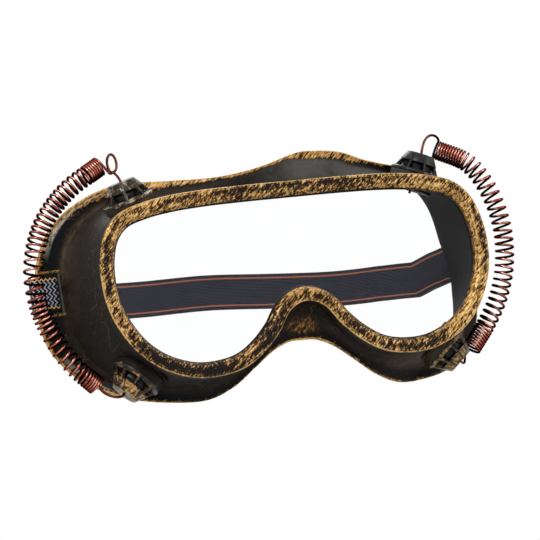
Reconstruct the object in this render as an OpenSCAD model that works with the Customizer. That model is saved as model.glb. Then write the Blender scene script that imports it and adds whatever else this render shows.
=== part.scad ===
// Safety goggles dressed up as steampunk eyewear: a soft moulded body with one wide lens,
// four slotted vent caps, a copper coil spring from cap to cap on each side and an elastic strap.
// The lens faces -Y and the wearer's face is at +Y. The origin is the centre of the lens's front face.

/* [Rim] */
// Width of the rim over its outer edge
rim_w = 159; // [140:1:175]
// Height of the rim from its top edge to its cheek edge
rim_h = 71; // [62:1:80]
// Width of the rim's face, from its outer edge to the opening
rim_face = 6.2; // [5.4:0.1:7]
// Width of the bevel inside the rim's ridge line
rim_bevel = 2; // [1:0.1:3]
// How far the rim stands in front of the lens
rim_proud = 3; // [2:0.1:4]
// Depth of the rim band, measured back from the lens's front face
rim_back = 3.6; // [3.2:0.1:5]
// Step from the rim's side down to the skirt
rim_step = 1; // [0.5:0.1:1.5]

/* [Lens] */
// Thickness of the lens
lens_t = 2; // [1.5:0.1:2.5]
// Depth of the lens's edge in the groove
lens_grip = 2.2; // [1.5:0.1:2.4]
// Clearance round the lens in its groove
lens_clear = 0.15; // [0.1:0.05:0.3]

/* [Skirt and face seal] */
// Wall of the soft skirt
wall = 2.2; // [1.8:0.1:2.6]
// Depth of the face seal behind the lens at the nose and brow
seal_y = 9; // [8:0.5:14]
// How much deeper the face seal lies at the temples
seal_wrap = 32; // [26:1:38]
// How far the face seal reaches past the rim at the temples
seal_reach = 13.4; // [12:0.2:15]
// Width of the flange at the brow, nose and cheeks
flange_w = 4.6; // [4:0.1:5.4]
// Width of the flange at the temples, where the strap goes through it
temple_w = 10.4; // [9.8:0.1:11]
// Thickness of that flange
flange_t = 2; // [1.6:0.1:2.4]
// Size of the rounded corner between the skirt and that flange
fillet = 3.6; // [2:0.2:5]
// Sideways lean of the brow's peak
brow_lean = 16; // [0:1:18]
// How far the face seal droops at the right temple and rises at the left
seal_skew = 3; // [0:0.2:4]

/* [Vents] */
// Diameter of a vent cap's brim
cap_d = 20; // [18:0.2:21]
// Height of a vent cap above its seat
cap_h = 7.6; // [6.8:0.2:8.4]
// Diameter of the flat top of a vent cap
cap_top_d = 10.5; // [9:0.5:12]
// Height of the windows in a vent cap
window_h = 3.5; // [3:0.1:3.9]
// Number of windows round a vent cap
window_count = 8; // [6:1:10]
// Width of the rib between two windows
rib_w = 1.5; // [1:0.1:2.2]
// Wall of a vent cap
cap_wall = 1.2; // [1:0.1:1.4]
// Outer diameter of the barrel below a vent cap
barrel_d = 12.4; // [11:0.2:13]
// Clearance between a vent's barrel and its hole
barrel_clear = 0.15; // [0.1:0.05:0.3]
// Gap for the air between the top of the barrel and the cap's sloping side
air_gap = 0.6; // [0.4:0.1:1.2]
// Height of the moulded seat under a vent cap
seat_h = 1; // [0.6:0.1:1.4]
// Thickness of the grille that closes a vent on the inside
grille_t = 1.2; // [1:0.1:1.6]

/* [Coil springs] */
// Diameter of the copper wire
wire_d = 0.9; // [0.7:0.05:0.95]
// Outer diameter of a coil
coil_d = 7.8; // [7:0.2:8.6]
// Number of curls in the left coil
turns_left = 45; // [36:1:46]
// Number of curls in the right coil
turns_right = 42; // [34:1:43]
// How far the curls close up at the ends, as a share of the mean pitch
end_close = 0.34; // [0.2:0.02:0.36]
// Clearance of the wire in its holes
wire_clear = 0.3; // [0.2:0.05:0.4]

/* [Strap] */
// Width of the elastic webbing
strap_w = 15; // [12:0.5:16]
// Thickness of the elastic webbing
strap_t = 1.3; // [1:0.1:1.6]
// Distance from the lens's front face to the back of the strap
strap_reach = 104; // [98:1:130]
// Angle at which the slack strap turns inwards behind the flange
strap_turn = 27; // [20:1:34]
// How far the slack strap bows up above the line between its slots
strap_bow = 4.6; // [0:0.2:6]
// Width of the strap slot, across the flange
slot_w = 5.5; // [4.4:0.1:5.8]
// Width of the bar that the strap wraps, between the slot and the flange's edge
bar_w = 3.8; // [3.2:0.1:4]
// Clearance above and below the strap in its slot
slot_clear = 0.8; // [0.6:0.1:1.4]
// Length of the doubled end behind the flange
fold_len = 9; // [7:0.5:12]
// Clearance between the doubled end and the strap that swings on it
swing_gap = 0.8; // [0.7:0.05:0.95]
// Clearance between the strap and what it passes
layer_gap = 0.3; // [0.3:0.05:0.5]

/* [Hidden] */

// Half outline of the rim, from the top centre round the right side to the nose,
// as shares of half the width and half the height
rim_half = [
    [0, 1], [0.163, 1], [0.314, 0.997], [0.453, 0.989], [0.603, 0.966], [0.742, 0.918], [0.868, 0.823],
    [0.95, 0.634], [0.991, 0.366], [1, 0.085], [0.983, -0.183], [0.937, -0.437], [0.862, -0.676],
    [0.755, -0.862], [0.616, -0.978], [0.478, -0.992], [0.352, -0.93], [0.245, -0.783], [0.157, -0.592],
    [0.088, -0.389], [0, -0.31]
];
// How far the face seal reaches past the rim at each of those points,
// as shares of its reach at the temple
seal_half = [
    [0, 0.948], [0.075, 0.888], [0.075, 0.627], [0.149, 0.507], [0.224, 0.56], [0.373, 0.709],
    [0.522, 0.586], [0.746, 0.425], [0.91, 0.194], [1, -0.224], [1.03, -0.41], [0.97, -0.545], [0.784, -0.634],
    [0.448, -0.67], [0.224, -0.61], [0.11, -0.62], [0.1, -0.5], [0.09, -0.43], [0.03, -0.52],
    [-0.075, -0.836], [0, -1.015]
];
steps = 2;                              // stations in each span of the outline
temple_flat = 0.985;                    // share of the half width past which the face seal lies flat
last = len(rim_half) - 1;
spans = 2 * last;
brow_span = rim_w * 0.535;              // how far from the centre the brow leans
brow_skew = 1.5;                        // how much more its left flank leans than its right
brow_flank = rim_w * 0.23;              // how far from the centre the flanks lie
brow_dip = 1.6;                         // how far the left flank dips and the right one swells

// Stations of the vents, left and right, and of the strap slots, counted round the outline
upper_vent_u = [5.04, 4.88];
lower_vent_u = [12.62, 13.1];
// How far each vent leans from square to the skirt, outwards and back, as slopes
upper_vent_lean = [[0, 0.285], [0.1, 0.01]];
lower_vent_lean = [[0.185, 0.3], [0.17, 0.165]];
// Place of each pair of vents across the skirt, left and right, as a share from the rim to the flange
upper_vent_s = [0.38, 0.4];
lower_vent_s = [0.5, 0.42];
// How far each vent is lifted out of the skirt
upper_vent_lift = [0, 1.2];
lower_vent_lift = [0, 0];
slot_u = 8.7;

half_w = rim_w / 2;
half_h = rim_h / 2;
barrel_wall = 1.1;
inner_seat = 1;
seat_in = wall + inner_seat;            // depth of the inner seat below the skirt
grille_r = barrel_d / 2 + 1.6;
barrel_in = 1.5;                        // how far a cap's barrel stands inside the inner seat
grille_h = grille_t + barrel_in;
cap_side_d = cap_d - 1.4;
cap_brim_t = 1;
cap_slope = (cap_side_d - cap_top_d) / 2 / (cap_h - cap_brim_t);
cap_in_d = cap_side_d - 2 * cap_wall * norm([1, cap_slope]);
barrel_top = cap_brim_t + ((cap_in_d - barrel_d) / 2 - air_gap) / cap_slope;
window_turn = 180 / window_count - rib_w / cap_side_d * 180 / PI;     // half the angle of a window
brim_room = 2.4;                        // how far the skirt is cut clear above a brim
socket_wall = 1;                        // wall of the socket round a brim that leans into the skirt
seat_inset = 0.6;                       // how much narrower a seat is than its brim
wire_hole_d = wire_d + 2 * wire_clear;
nub = 1.2;                              // how far the wire stands out inside the grille
coil_r = (coil_d - wire_d) / 2;
rings = 8;                              // rings in each curl
sides = 6;
hole_fn = 48;

// Points of the coils' centre lines, as shares of half the rim's width and half its height
route_right = [
    [0.918, 1.285], [1.067, 1.076], [1.157, 0.718], [1.200, 0.310],
    [1.187, -0.099], [1.132, -0.445], [1.048, -0.727], [0.95, -0.98]
];
route_left = [
    [0.870, 1.408], [1.049, 1.169], [1.184, 0.831], [1.250, 0.408],
    [1.244, 0.000], [1.186, -0.380], [1.107, -0.662], [1.009, -0.885]
];
// How far behind the lens's front face those points lie
depth_right = [16.5, 13.6, 13, 14.2, 15.6, 16.8, 17.9, 19];
depth_left = [11, 12.14, 13.29, 14.43, 15.57, 16.71, 17.86, 19];

function unit(v) = v / norm(v);
function lerp(a, b, t) = a + (b - a) * t;
function smooth(t) = let (c = max(0, min(1, t))) c * c * (3 - 2 * c);

// A smooth curve through points: closed loop, or open path
function spline(a, b, c, d, t) =
    0.5 * (2 * b + (c - a) * t + (2 * a - 5 * b + 4 * c - d) * t * t + (3 * b - a - 3 * c + d) * t * t * t);
function on_loop(pts, u) =
    let (n = len(pts), w = (u + n) % n, i = floor(w))
    spline(pts[(i + n - 1) % n], pts[i], pts[(i + 1) % n], pts[(i + 2) % n], w - i);
function on_path(pts, u) =
    let (n = len(pts), i = min(n - 2, max(0, floor(u))),
         a = i > 0 ? pts[i - 1] : 2 * pts[0] - pts[1],
         d = i < n - 2 ? pts[i + 2] : 2 * pts[n - 1] - pts[n - 2])
    spline(a, pts[i], pts[i + 1], d, u - i);

rim_loop = [for (i = [0 : spans - 1])
    let (k = i <= last ? i : spans - i, side = i <= last ? 1 : -1)
    [side * rim_half[k][0] * half_w, rim_half[k][1] * half_h]];
// The soft moulding isn't quite even: the brow's peak leans to one side, and one temple droops
function lean(p) = [
    p[1] > 0 ? p[0] + brow_lean * (p[0] < 0 ? brow_skew : 1) * pow(cos(90 * min(1, abs(p[0]) / brow_span)), 2) : p[0],
    p[1] - seal_skew * p[0] / (half_w + seal_reach)
        + (p[1] > 0 ? brow_dip * (bump(p[0] - brow_flank) - bump(p[0] + brow_flank)) : 0)];
function bump(d) = pow(cos(90 * min(1, abs(d) / (0.8 * brow_flank))), 2);
seal_loop = [for (i = [0 : spans - 1])
    let (k = i <= last ? i : spans - i, side = i <= last ? 1 : -1)
    lean(rim_loop[i] + [side * seal_half[k][0], seal_half[k][1]] * seal_reach)];

function rim_at(u) = on_loop(rim_loop, u);
function seal_at(u) = on_loop(seal_loop, u);
// Unit normal of the rim's outline, pointing inwards
function inward(u) = let (d = rim_at(u + 0.05) - rim_at(u - 0.05)) unit([d[1], -d[0]]);
function rim_in(u, d) = rim_at(u) + inward(u) * d;
function seal_depth(x) = seal_y + seal_wrap * pow(min(1, abs(x) / (temple_flat * (half_w + seal_reach))), 2);
function point(p, y) = [p[0], y, p[1]];
function seal_in(u, d) = let (f = seal_at(u), r = rim_at(u)) f - unit(f - r) * d;
function flange_at(u) = lerp(flange_w, temple_w, pow(abs(seal_at(u)[0]) / (half_w + seal_reach), 6));

// A point on the outside of the skirt: u runs round the outline, s from the rim to the flange
function skirt(u, s) =
    let (a = point(rim_in(u, rim_step), rim_back + rim_step * 0.8),
         e = seal_in(u, flange_at(u)), b = point(e, seal_depth(seal_at(u)[0]) - flange_t))
    lerp(a, b, s);
function skirt_normal(u, s) = unit(cross(skirt(u + 0.2, s) - skirt(u - 0.2, s), skirt(u, s + 0.1) - skirt(u, s - 0.1)));

function section(u) =
    let (f = seal_at(u), y = seal_depth(f[0]),
         root = skirt(u, 1), depth = norm(root - skirt(u, 0)), bend = min(fillet, 0.6 * flange_at(u), 0.5 * depth),
         bend_in = skirt(u, 1 - bend / depth), bend_out = point(seal_in(u, flange_at(u) - bend), y - flange_t),
         root_in = seal_in(u, flange_at(u) + wall),
         groove = rim_face - lens_grip - lens_clear,
         keep = rim_face - 0.9,
         front_in = point(rim_in(u, rim_step + wall), rim_back + 1.4))
    [
        point(rim_in(u, 0.7), -rim_proud),
        point(rim_in(u, 0), 0.7 - rim_proud),
        point(rim_in(u, 0), rim_back),
        skirt(u, 0),
        bend_in,
        lerp(lerp(bend_in, bend_out, 0.25), root, 0.4),
        lerp(lerp(bend_in, bend_out, 0.75), root, 0.4),
        bend_out,
        point(f, y - flange_t),
        point(f, y),
        point(root_in, y),
        front_in,
        point(rim_in(u, keep), lens_t + lens_clear + 1.6),
        point(rim_in(u, keep), lens_t + lens_clear),
        point(rim_in(u, groove), lens_t + lens_clear),
        point(rim_in(u, groove), -lens_clear),
        point(rim_in(u, rim_face), -lens_clear),
        point(rim_in(u, rim_face), -lens_clear - 0.6),
        point(rim_in(u, rim_face - rim_bevel), -rim_proud)
    ];

// Skin between rows of points: loop joins the last row to the first, otherwise the ends are capped
function row_faces(a, b, n) = [for (j = [0 : n - 1])
    let (k = (j + 1) % n)
    each [[a + j, b + j, b + k], [a + j, b + k, a + k]]];
module skin(rows, loop) {
    n = len(rows[0]);
    m = len(rows);
    ends = loop ? [] : [
        for (j = [1 : n - 2]) [0, j, j + 1],
        for (j = [1 : n - 2]) [(m - 1) * n, (m - 1) * n + j + 1, (m - 1) * n + j]
    ];
    polyhedron(
        points = [for (r = rows) each r],
        faces = concat([for (i = [0 : m - (loop ? 1 : 2)]) each row_faces(i * n, (i + 1) % m * n, n)], ends));
}

// The frame that a vent stands in: its seat's centre, and its axis out of the skirt
function vent_u(side, up) = let (u = up ? upper_vent_u : lower_vent_u) side > 0 ? u[1] : spans - u[0];
function vent_s(side, up) = (up ? upper_vent_s : lower_vent_s)[side > 0 ? 1 : 0];
function vent_lift(side, up) = (up ? upper_vent_lift : lower_vent_lift)[side > 0 ? 1 : 0];
function vent_square(side, up) = skirt_normal(vent_u(side, up), vent_s(side, up));
function vent_axis(side, up) =
    let (way = (up ? upper_vent_lean : lower_vent_lean)[side > 0 ? 1 : 0])
    unit(vent_square(side, up) + [side * way[0], way[1], 0]);
function vent_point(side, up, h) =
    skirt(vent_u(side, up), vent_s(side, up)) + vent_axis(side, up) * (h + vent_lift(side, up));
module stand(b, z) {
    x = unit(cross([0, 1, 0], z));
    y = cross(z, x);
    multmatrix([[x[0], y[0], z[0], b[0]], [x[1], y[1], z[1], b[1]], [x[2], y[2], z[2], b[2]]]) children();
}
module at_vent(side, up) {
    stand(vent_point(side, up, 0), vent_axis(side, up)) children();
}
// Keeps the skirt closed where a leaning brim is let into it; it stays below the skirt's outside
module socket(side, up) {
    intersection() {
        at_vent(side, up) translate([0, 0, -seat_in])
            cylinder(d = cap_d + 2 * (layer_gap + socket_wall), h = seat_in + cap_d / 2, $fn = hole_fn);
        stand(skirt(vent_u(side, up), vent_s(side, up)), vent_square(side, up))
            translate([0, 0, -cap_d]) cylinder(r = cap_d, h = cap_d - 0.8 * wall, $fn = hole_fn);
        translate([-rim_w, rim_back + 2, -rim_w]) cube(2 * rim_w);
    }
}

// The strap slots: a slot's height, and the flange's edge beside the right one seen from above
function slot_z(side) = seal_at(side > 0 ? slot_u : spans - slot_u)[1];
flange_tip = [seal_at(slot_u)[0], seal_depth(seal_at(slot_u)[0])];
slot_x = flange_tip[0] - bar_w - slot_w / 2;
// The strap leaves the flange along this direction, doubled as far as fold_end, and swings about swing_at
leave = [-sin(strap_turn), cos(strap_turn)];
beside = [leave[1], -leave[0]];
fold_start = flange_tip + [0.4, 1.2];
fold_end = fold_start + leave * fold_len;
swing_at = fold_end + leave * (strap_w / 2 + swing_gap);

module goggle_body() {
    color([0.17, 0.13, 0.09])
    difference() {
        union() {
            difference() {
                union() {
                    skin([for (i = [spans * steps - 1 : -1 : 0]) section(i / steps)], true);
                    for (side = [-1, 1], up = [false, true]) socket(side, up);
                }
                for (side = [-1, 1], up = [false, true]) at_vent(side, up) translate([0, 0, seat_h - layer_gap])
                    cylinder(d = cap_d + 2 * layer_gap, h = layer_gap + cap_brim_t + brim_room, $fn = hole_fn);
            }
            for (side = [-1, 1], up = [false, true]) at_vent(side, up)
                translate([0, 0, -seat_in]) cylinder(d = cap_d - seat_inset, h = seat_in + seat_h, $fn = hole_fn);
        }
        for (side = [-1, 1], up = [false, true]) at_vent(side, up)
            translate([0, 0, -seat_in - 1]) cylinder(d = barrel_d + 2 * barrel_clear, h = seat_in + seat_h + 2, $fn = hole_fn);
        for (side = [-1, 1], up = [false, true]) at_vent(side, up)
            translate([0, 0, -seat_in - grille_h - layer_gap])
            cylinder(r = grille_r + layer_gap, h = grille_h + layer_gap, $fn = hole_fn);
        for (side = [-1, 1]) translate([side * slot_x, flange_tip[1], slot_z(side)])
            cube([slot_w, 4 * flange_t, strap_w + 2 * slot_clear], center = true);
    }
}

module lens() {
    outline = [for (i = [0 : spans * steps - 1]) rim_in(i / steps, rim_face - lens_grip)];
    color([0.85, 0.9, 0.92, 0.35])
    translate([0, lens_t, 0]) rotate([90, 0, 0]) linear_extrude(height = lens_t) polygon(outline);
}

// One vent cap in its own frame: brim on the seat at seat_h, barrel through the skirt
module vent_cap() {
    side_r = cap_side_d / 2;
    in_r = cap_in_d / 2;
    barrel_r = barrel_d / 2;
    bore_r = barrel_r - barrel_wall;
    foot = -seat_in - barrel_in - seat_h;
    translate([0, 0, seat_h]) {
        difference() {
            rotate_extrude($fn = hole_fn) difference() {
                polygon([[0, cap_h], [cap_top_d / 2, cap_h], [side_r, cap_brim_t], [cap_d / 2, cap_brim_t],
                    [cap_d / 2, 0], [bore_r + 0.4, 0], [bore_r + 0.4, cap_brim_t], [0, cap_brim_t]]);
                polygon([[0, cap_h - cap_wall], [in_r - cap_slope * (cap_h - cap_wall - cap_brim_t), cap_h - cap_wall],
                    [in_r, cap_brim_t], [0, cap_brim_t]]);
            }
            for (i = [0 : window_count - 1]) rotate([0, 0, (i + 0.5) * 360 / window_count])
                translate([0, 0, cap_brim_t + 0.4]) linear_extrude(height = window_h)
                polygon([[0, 0], [cap_d * cos(window_turn), -cap_d * sin(window_turn)], [cap_d * cos(window_turn), cap_d * sin(window_turn)]]);
            cylinder(d = wire_hole_d, h = cap_h + 1, $fn = 24);
        }
        rotate_extrude($fn = hole_fn)
            polygon([[bore_r, foot], [barrel_r, foot], [barrel_r, barrel_top], [bore_r, barrel_top]]);
    }
}

// The grille that closes a vent's barrel inside the goggles
module vent_grille() {
    translate([0, 0, -seat_in - grille_h])
    difference() {
        cylinder(r = grille_r, h = grille_h, $fn = hole_fn);
        translate([0, 0, grille_t]) cylinder(d = barrel_d + 0.1, h = grille_h, $fn = hole_fn);
        for (i = [0 : 5]) rotate([0, 0, i * 60]) translate([barrel_d / 4, 0, -1]) cylinder(r = 1, h = grille_t + 2, $fn = 24);
        translate([0, 0, -1]) cylinder(d = wire_hole_d, h = grille_t + 2, $fn = 24);
    }
}

// The wire of one coil spring, as one line of points
function route(side) = [for (i = [0 : 7])
    let (p = side > 0 ? route_right[i] : route_left[i])
    [side * p[0] * half_w, (side > 0 ? depth_right : depth_left)[i], p[1] * half_h]];
function turns(side) = side > 0 ? turns_right : turns_left;
// Angle round the coil at which its first curl starts: 0 is the outer side, 90 the side next to the face
function first_curl(side) = side > 0 ? 0 : 90;
// Share of the route's length at a share of the curls: close at both ends, open between
function advance(t) = t - end_close * sin(360 * t) / 360 * 180 / PI;
// A table from the length along a route to the place on it
fine = 8;
function length_table(pts, k, sum) = k > 7 * fine ? []
    : let (d = k == 0 ? 0 : norm(on_path(pts, k / fine) - on_path(pts, (k - 1) / fine)))
      concat([[sum + d, k / fine]], length_table(pts, k + 1, sum + d));
function coil_points(side) =
    let (pts = route(side), n = turns(side) * rings,
         table = length_table(pts, 0, 0), long = table[7 * fine][0])
    [for (i = [0 : n])
        let (u = lookup(long * advance(i / n), table), c = on_path(pts, u),
             t = unit(on_path(pts, min(7, u + 0.02)) - on_path(pts, max(0, u - 0.02))),
             b = unit(cross(t, [0, 1, 0])), e = cross(b, t), a = lerp(first_curl(side), 360 * turns(side) + 90, i / n))
        c + coil_r * (cos(a) * b + side * sin(a) * e)];
// A small eye bent in the wire, once round, standing in the plane of the coil
eye_r = [1.7, 3.4];                     // half its width and half its height
eye_shift = -1.7 * wire_d;              // how far the wire moves forward in one turn of the eye
eye_steps = 14;
eye_foot = [-2.4, 0.4, 3.4];            // from the left cap's top to the foot of its eye
eye_leave = [-1.8, 0, -1.2];            // how the wire leaves that eye
hook_rise = [3.4, 0.3, 11];             // how the wire leaves the right cap's top
hook_pull = 5;                          // how long it runs on along the coil's first curl
tail_pull = 3;
function eye_points(p) = [for (i = [0 : eye_steps])
    let (t = i / eye_steps, a = 360 * t) p + [-eye_r[0] * sin(a), eye_shift * t, eye_r[1] * (1 - cos(a))]];
// A short curve between two points that leaves and arrives along given directions
function bridge(p, pd, q, qd, n) = [for (i = [1 : n - 1])
    let (t = i / n, a = 1 - t)
    a * a * a * p + 3 * a * a * t * (p + pd) + 3 * a * t * t * (q - qd) + t * t * t * q];
function wire_points(side) =
    let (c = coil_points(side), n = len(c) - 1,
         top_in = vent_point(side, true, -seat_in - grille_h - nub),
         top_out = vent_point(side, true, seat_h + cap_h + wire_d),
         foot = top_out + eye_foot,
         eye = side < 0 ? eye_points(foot) : [],
         from = side < 0 ? eye[len(eye) - 1] : top_out,
         rise = side < 0 ? eye_leave : hook_rise,
         low_in = vent_point(side, false, -seat_in - grille_h - nub),
         low_out = vent_point(side, false, seat_h + cap_h + wire_d),
         d0 = unit(c[1] - c[0]), d1 = unit(c[n] - c[n - 1]))
    concat(
        [top_in, top_out],
        eye,
        bridge(from, rise, c[0], d0 * hook_pull, 8),
        c,
        bridge(c[n], d1 * tail_pull, low_out, -vent_axis(side, false) * tail_pull, 8),
        [low_out, low_in]);
// Rings of the wire, turned with the line so that they never twist over
function ring_axes(pts, i, prev) =
    let (n = len(pts),
         t = unit(i == 0 ? pts[1] - pts[0] : i == n - 1 ? pts[i] - pts[i - 1]
             : unit(pts[i + 1] - pts[i]) + unit(pts[i] - pts[i - 1])),
         x = unit(prev - t * (prev * t)))
    [x, cross(t, x)];
function wire_rows(pts) = [
    for (i = 0, prev = [0.3, 0.9, 0.3], ax = ring_axes(pts, 0, prev); i < len(pts);
         i = i + 1, prev = ax[0], ax = i < len(pts) ? ring_axes(pts, i, prev) : ax)
        [for (j = [0 : sides - 1]) let (a = 360 * j / sides)
            pts[i] + wire_d / 2 * (cos(a) * ax[0] + sin(a) * ax[1])]];
// Least gap between a wire and itself, measured between its points
function least_gap(pts) = min([for (i = [0 : len(pts) - 1], j = [i + 4 : min(len(pts) - 1, i + 2 * rings + 2)])
    norm(pts[i] - pts[j])]) - wire_d;
module coil_spring(side) {
    pts = wire_points(side);
    echo(side = side, curls = turns(side), least_gap = least_gap(pts));
    color([0.62, 0.3, 0.18]) skin(wire_rows(pts), false);
}

// Bends of the strap's folded end: its corners at the bar, and where it turns off the flange's back
corner = [0.9, 0.6];
fold_bend = 1.6;
fold_lift = 0.4;
fold_in = 2;
fold_out = 1.5;
// Half of the strap's centre line seen from above, from the swing point to the middle of the back
strap_half =
    let (a = swing_at, b = a + leave * 12, r = strap_reach - strap_t / 2, d = r - b[1])
    [a, a + leave * 6, b, [b[0] * 0.87, b[1] + d * 0.42], [b[0] * 0.68, b[1] + d * 0.72],
        [b[0] * 0.42, b[1] + d * 0.92], [b[0] * 0.18, b[1] + d * 0.99], [0, r]];
side_end = 3;                           // place on that line where the side ends and the back begins
strap_step = 0.25;
// Shape of the strap's bow at even steps from the left swing point to the right one
bow_shape = [0, 0.54, 0.8, 1, 0.67, 0.2, 0];
function strap_z(side, p) =
    let (x = side * p[0] / swing_at[0], share = smooth(1.6 * (p[1] - swing_at[1]) / (strap_reach - swing_at[1])))
    (slot_z(1) * (1 + x) + slot_z(-1) * (1 - x)) / 2 + share * strap_bow * on_path(bow_shape, 3 + 3 * x);
function strap_row(side, u) =
    let (n = len(strap_half) - 1, p = on_path(strap_half, u),
         d = unit(on_path(strap_half, min(n, u + 0.02)) - on_path(strap_half, max(0, u - 0.02))),
         w = (u >= n ? [0, 1] : [d[1], -d[0]]) * strap_t / 2, z = strap_z(side, p), h = strap_w / 2)
    [for (k = [[-1, 1], [1, 1], [1, -1], [-1, -1]])
        [side * (p[0] + k[0] * w[0]), p[1] + k[0] * w[1], z + k[1] * h]];
module strap_skin(rows, side) {
    skin(side > 0 ? rows : [for (r = rows) [r[1], r[0], r[3], r[2]]], false);
}

// The end of the strap: from its fold through the slot, round the flange's bar and back beside itself
module strap_end(side) {
    front = flange_tip[1] - flange_t - layer_gap - strap_t / 2;
    back = flange_tip[1] + layer_gap + strap_t / 2;
    out = beside * (strap_t / 2 + 0.02);
    through = slot_x - slot_w / 2 + layer_gap + 0.1 + strap_t / 2;
    tip = flange_tip[0];
    line = [fold_end - out, fold_start - out + leave * fold_in, [tip - fold_bend, back + fold_lift],
        [tip - 2 * fold_bend, back],
        [through + corner[0], back], [through, back - corner[1]],
        [through, front + corner[1]], [through + corner[0], front],
        [tip, front], [tip + corner[0], front + corner[1]],
        [tip + layer_gap + strap_t / 2 + 0.2, flange_tip[1] - 0.2], fold_start + out + leave * fold_out, fold_end + out];
    n = len(line) - 1;
    edge = [for (s = [1, -1], i = s > 0 ? [0 : n] : [n : -1 : 0])
        let (d0 = unit(line[max(1, i)] - line[max(1, i) - 1]), d1 = unit(line[min(n - 1, i) + 1] - line[min(n - 1, i)]),
             d = unit(d0 + d1), k = 1 / max(0.5, d * d0))
        line[i] + [d[1], -d[0]] * s * k * strap_t / 2];
    color([0.16, 0.17, 0.2])
    translate([0, 0, slot_z(side) - strap_w / 2]) linear_extrude(height = strap_w)
    mirror([side > 0 ? 0 : 1, 0]) polygon(edge);
}

// A row of the round tongue that the side swings on, at an angle from its tip
function tongue_row(side, a) =
    let (p = swing_at - leave * strap_w / 2 * cos(a), w = beside * strap_t / 2, h = strap_w / 2 * sin(a))
    [for (k = [[-1, 1], [1, 1], [1, -1], [-1, -1]])
        [side * (p[0] + k[0] * w[0]), p[1] + k[0] * w[1], slot_z(side) + k[1] * h]];
module strap_side(side) {
    echo(side = side, swing_at = [side * swing_at[0], swing_at[1], slot_z(side)]);
    color([0.16, 0.17, 0.2])
    strap_skin(concat([for (a = [10 : 10 : 80]) tongue_row(side, a)],
        [for (u = [0 : strap_step : side_end]) strap_row(side, u)]), side);
}

module strap_back() {
    n = len(strap_half) - 1;
    start = side_end + layer_gap / norm(strap_half[side_end + 1] - strap_half[side_end]);
    halves = [for (side = [1, -1]) [for (i = [0 : 20]) strap_row(side, lerp(start, n, i / 20))]];
    color([0.16, 0.17, 0.2])
    skin(concat(halves[0], [for (i = [19 : -1 : 0]) halves[1][i]]), false);
}

// Zigzag stitches that close the loop, on the outside of the doubled end
module strap_stitching(side) {
    thread = 0.5;
    pitch = 1.7;
    out = beside * (strap_t + 0.02 + thread / 2);
    count = floor((fold_len - 3) / pitch);
    color([0.75, 0.42, 0.2])
    for (row = [-4.8, 0, 4.8], i = [0 : count - 1])
        let (p = fold_end - leave * (1 + (i + 0.5) * pitch) + out)
        translate([side * p[0], p[1], slot_z(side) + row]) rotate([0, 0, side * strap_turn]) rotate([i % 2 == 0 ? 35 : -35, 0, 0])
        cube([thread, pitch, thread], center = true);
}

goggle_body();
lens();
color([0.4, 0.33, 0.22]) at_vent(-1, true) vent_cap();  // vent_cap_upper_left
color([0.14, 0.14, 0.14]) at_vent(1, true) vent_cap();  // vent_cap_upper_right
color([0.45, 0.36, 0.2]) at_vent(-1, false) vent_cap();  // vent_cap_lower_left
color([0.45, 0.36, 0.2]) at_vent(1, false) vent_cap();  // vent_cap_lower_right
color([0.1, 0.1, 0.1]) at_vent(-1, true) vent_grille();  // vent_grille_upper_left
color([0.1, 0.1, 0.1]) at_vent(1, true) vent_grille();  // vent_grille_upper_right
color([0.1, 0.1, 0.1]) at_vent(-1, false) vent_grille();  // vent_grille_lower_left
color([0.1, 0.1, 0.1]) at_vent(1, false) vent_grille();  // vent_grille_lower_right
coil_spring(-1);  // coil_spring_left
coil_spring(1);  // coil_spring_right
strap_end(-1);  // strap_end_left
strap_end(1);  // strap_end_right
strap_side(-1);  // strap_side_left
strap_side(1);  // strap_side_right
strap_back();
strap_stitching(-1);  // strap_stitching_left
strap_stitching(1);  // strap_stitching_right
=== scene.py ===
# Steampunk goggles: a soft moulded body rubbed with gold paint, slotted vent caps,
# copper coil springs and an elastic strap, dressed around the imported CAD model.
import math
import bpy
import numpy as np
from mathutils import Matrix, Vector


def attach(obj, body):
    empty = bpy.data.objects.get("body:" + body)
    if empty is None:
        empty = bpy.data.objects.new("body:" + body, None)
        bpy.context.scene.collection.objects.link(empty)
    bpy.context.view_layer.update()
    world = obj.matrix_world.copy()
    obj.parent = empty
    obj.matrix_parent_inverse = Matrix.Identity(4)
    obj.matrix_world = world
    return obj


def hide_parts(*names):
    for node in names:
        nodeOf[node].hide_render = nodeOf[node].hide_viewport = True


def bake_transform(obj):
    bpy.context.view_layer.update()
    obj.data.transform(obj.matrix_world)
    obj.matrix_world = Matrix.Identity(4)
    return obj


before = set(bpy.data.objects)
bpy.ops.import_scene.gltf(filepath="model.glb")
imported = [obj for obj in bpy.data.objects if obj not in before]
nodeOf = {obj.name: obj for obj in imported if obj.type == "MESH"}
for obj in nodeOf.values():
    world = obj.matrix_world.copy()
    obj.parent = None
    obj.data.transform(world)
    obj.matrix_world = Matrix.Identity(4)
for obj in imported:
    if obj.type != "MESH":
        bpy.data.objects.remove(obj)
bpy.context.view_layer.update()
mm = 0.001
scene = bpy.context.scene
scene.view_settings.view_transform = "Standard"
print("frame loaded:", len(nodeOf), "nodes")

# camera
shot = {
    "yaw": -22, "pitch": -6.9, "roll": 9,   # degrees, as found from the photograph
    "distance": 900, "right": 12.6, "up": -0.7, "rimFront": 3,
    "focal": 158.76, "sensor": 36,
}


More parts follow.
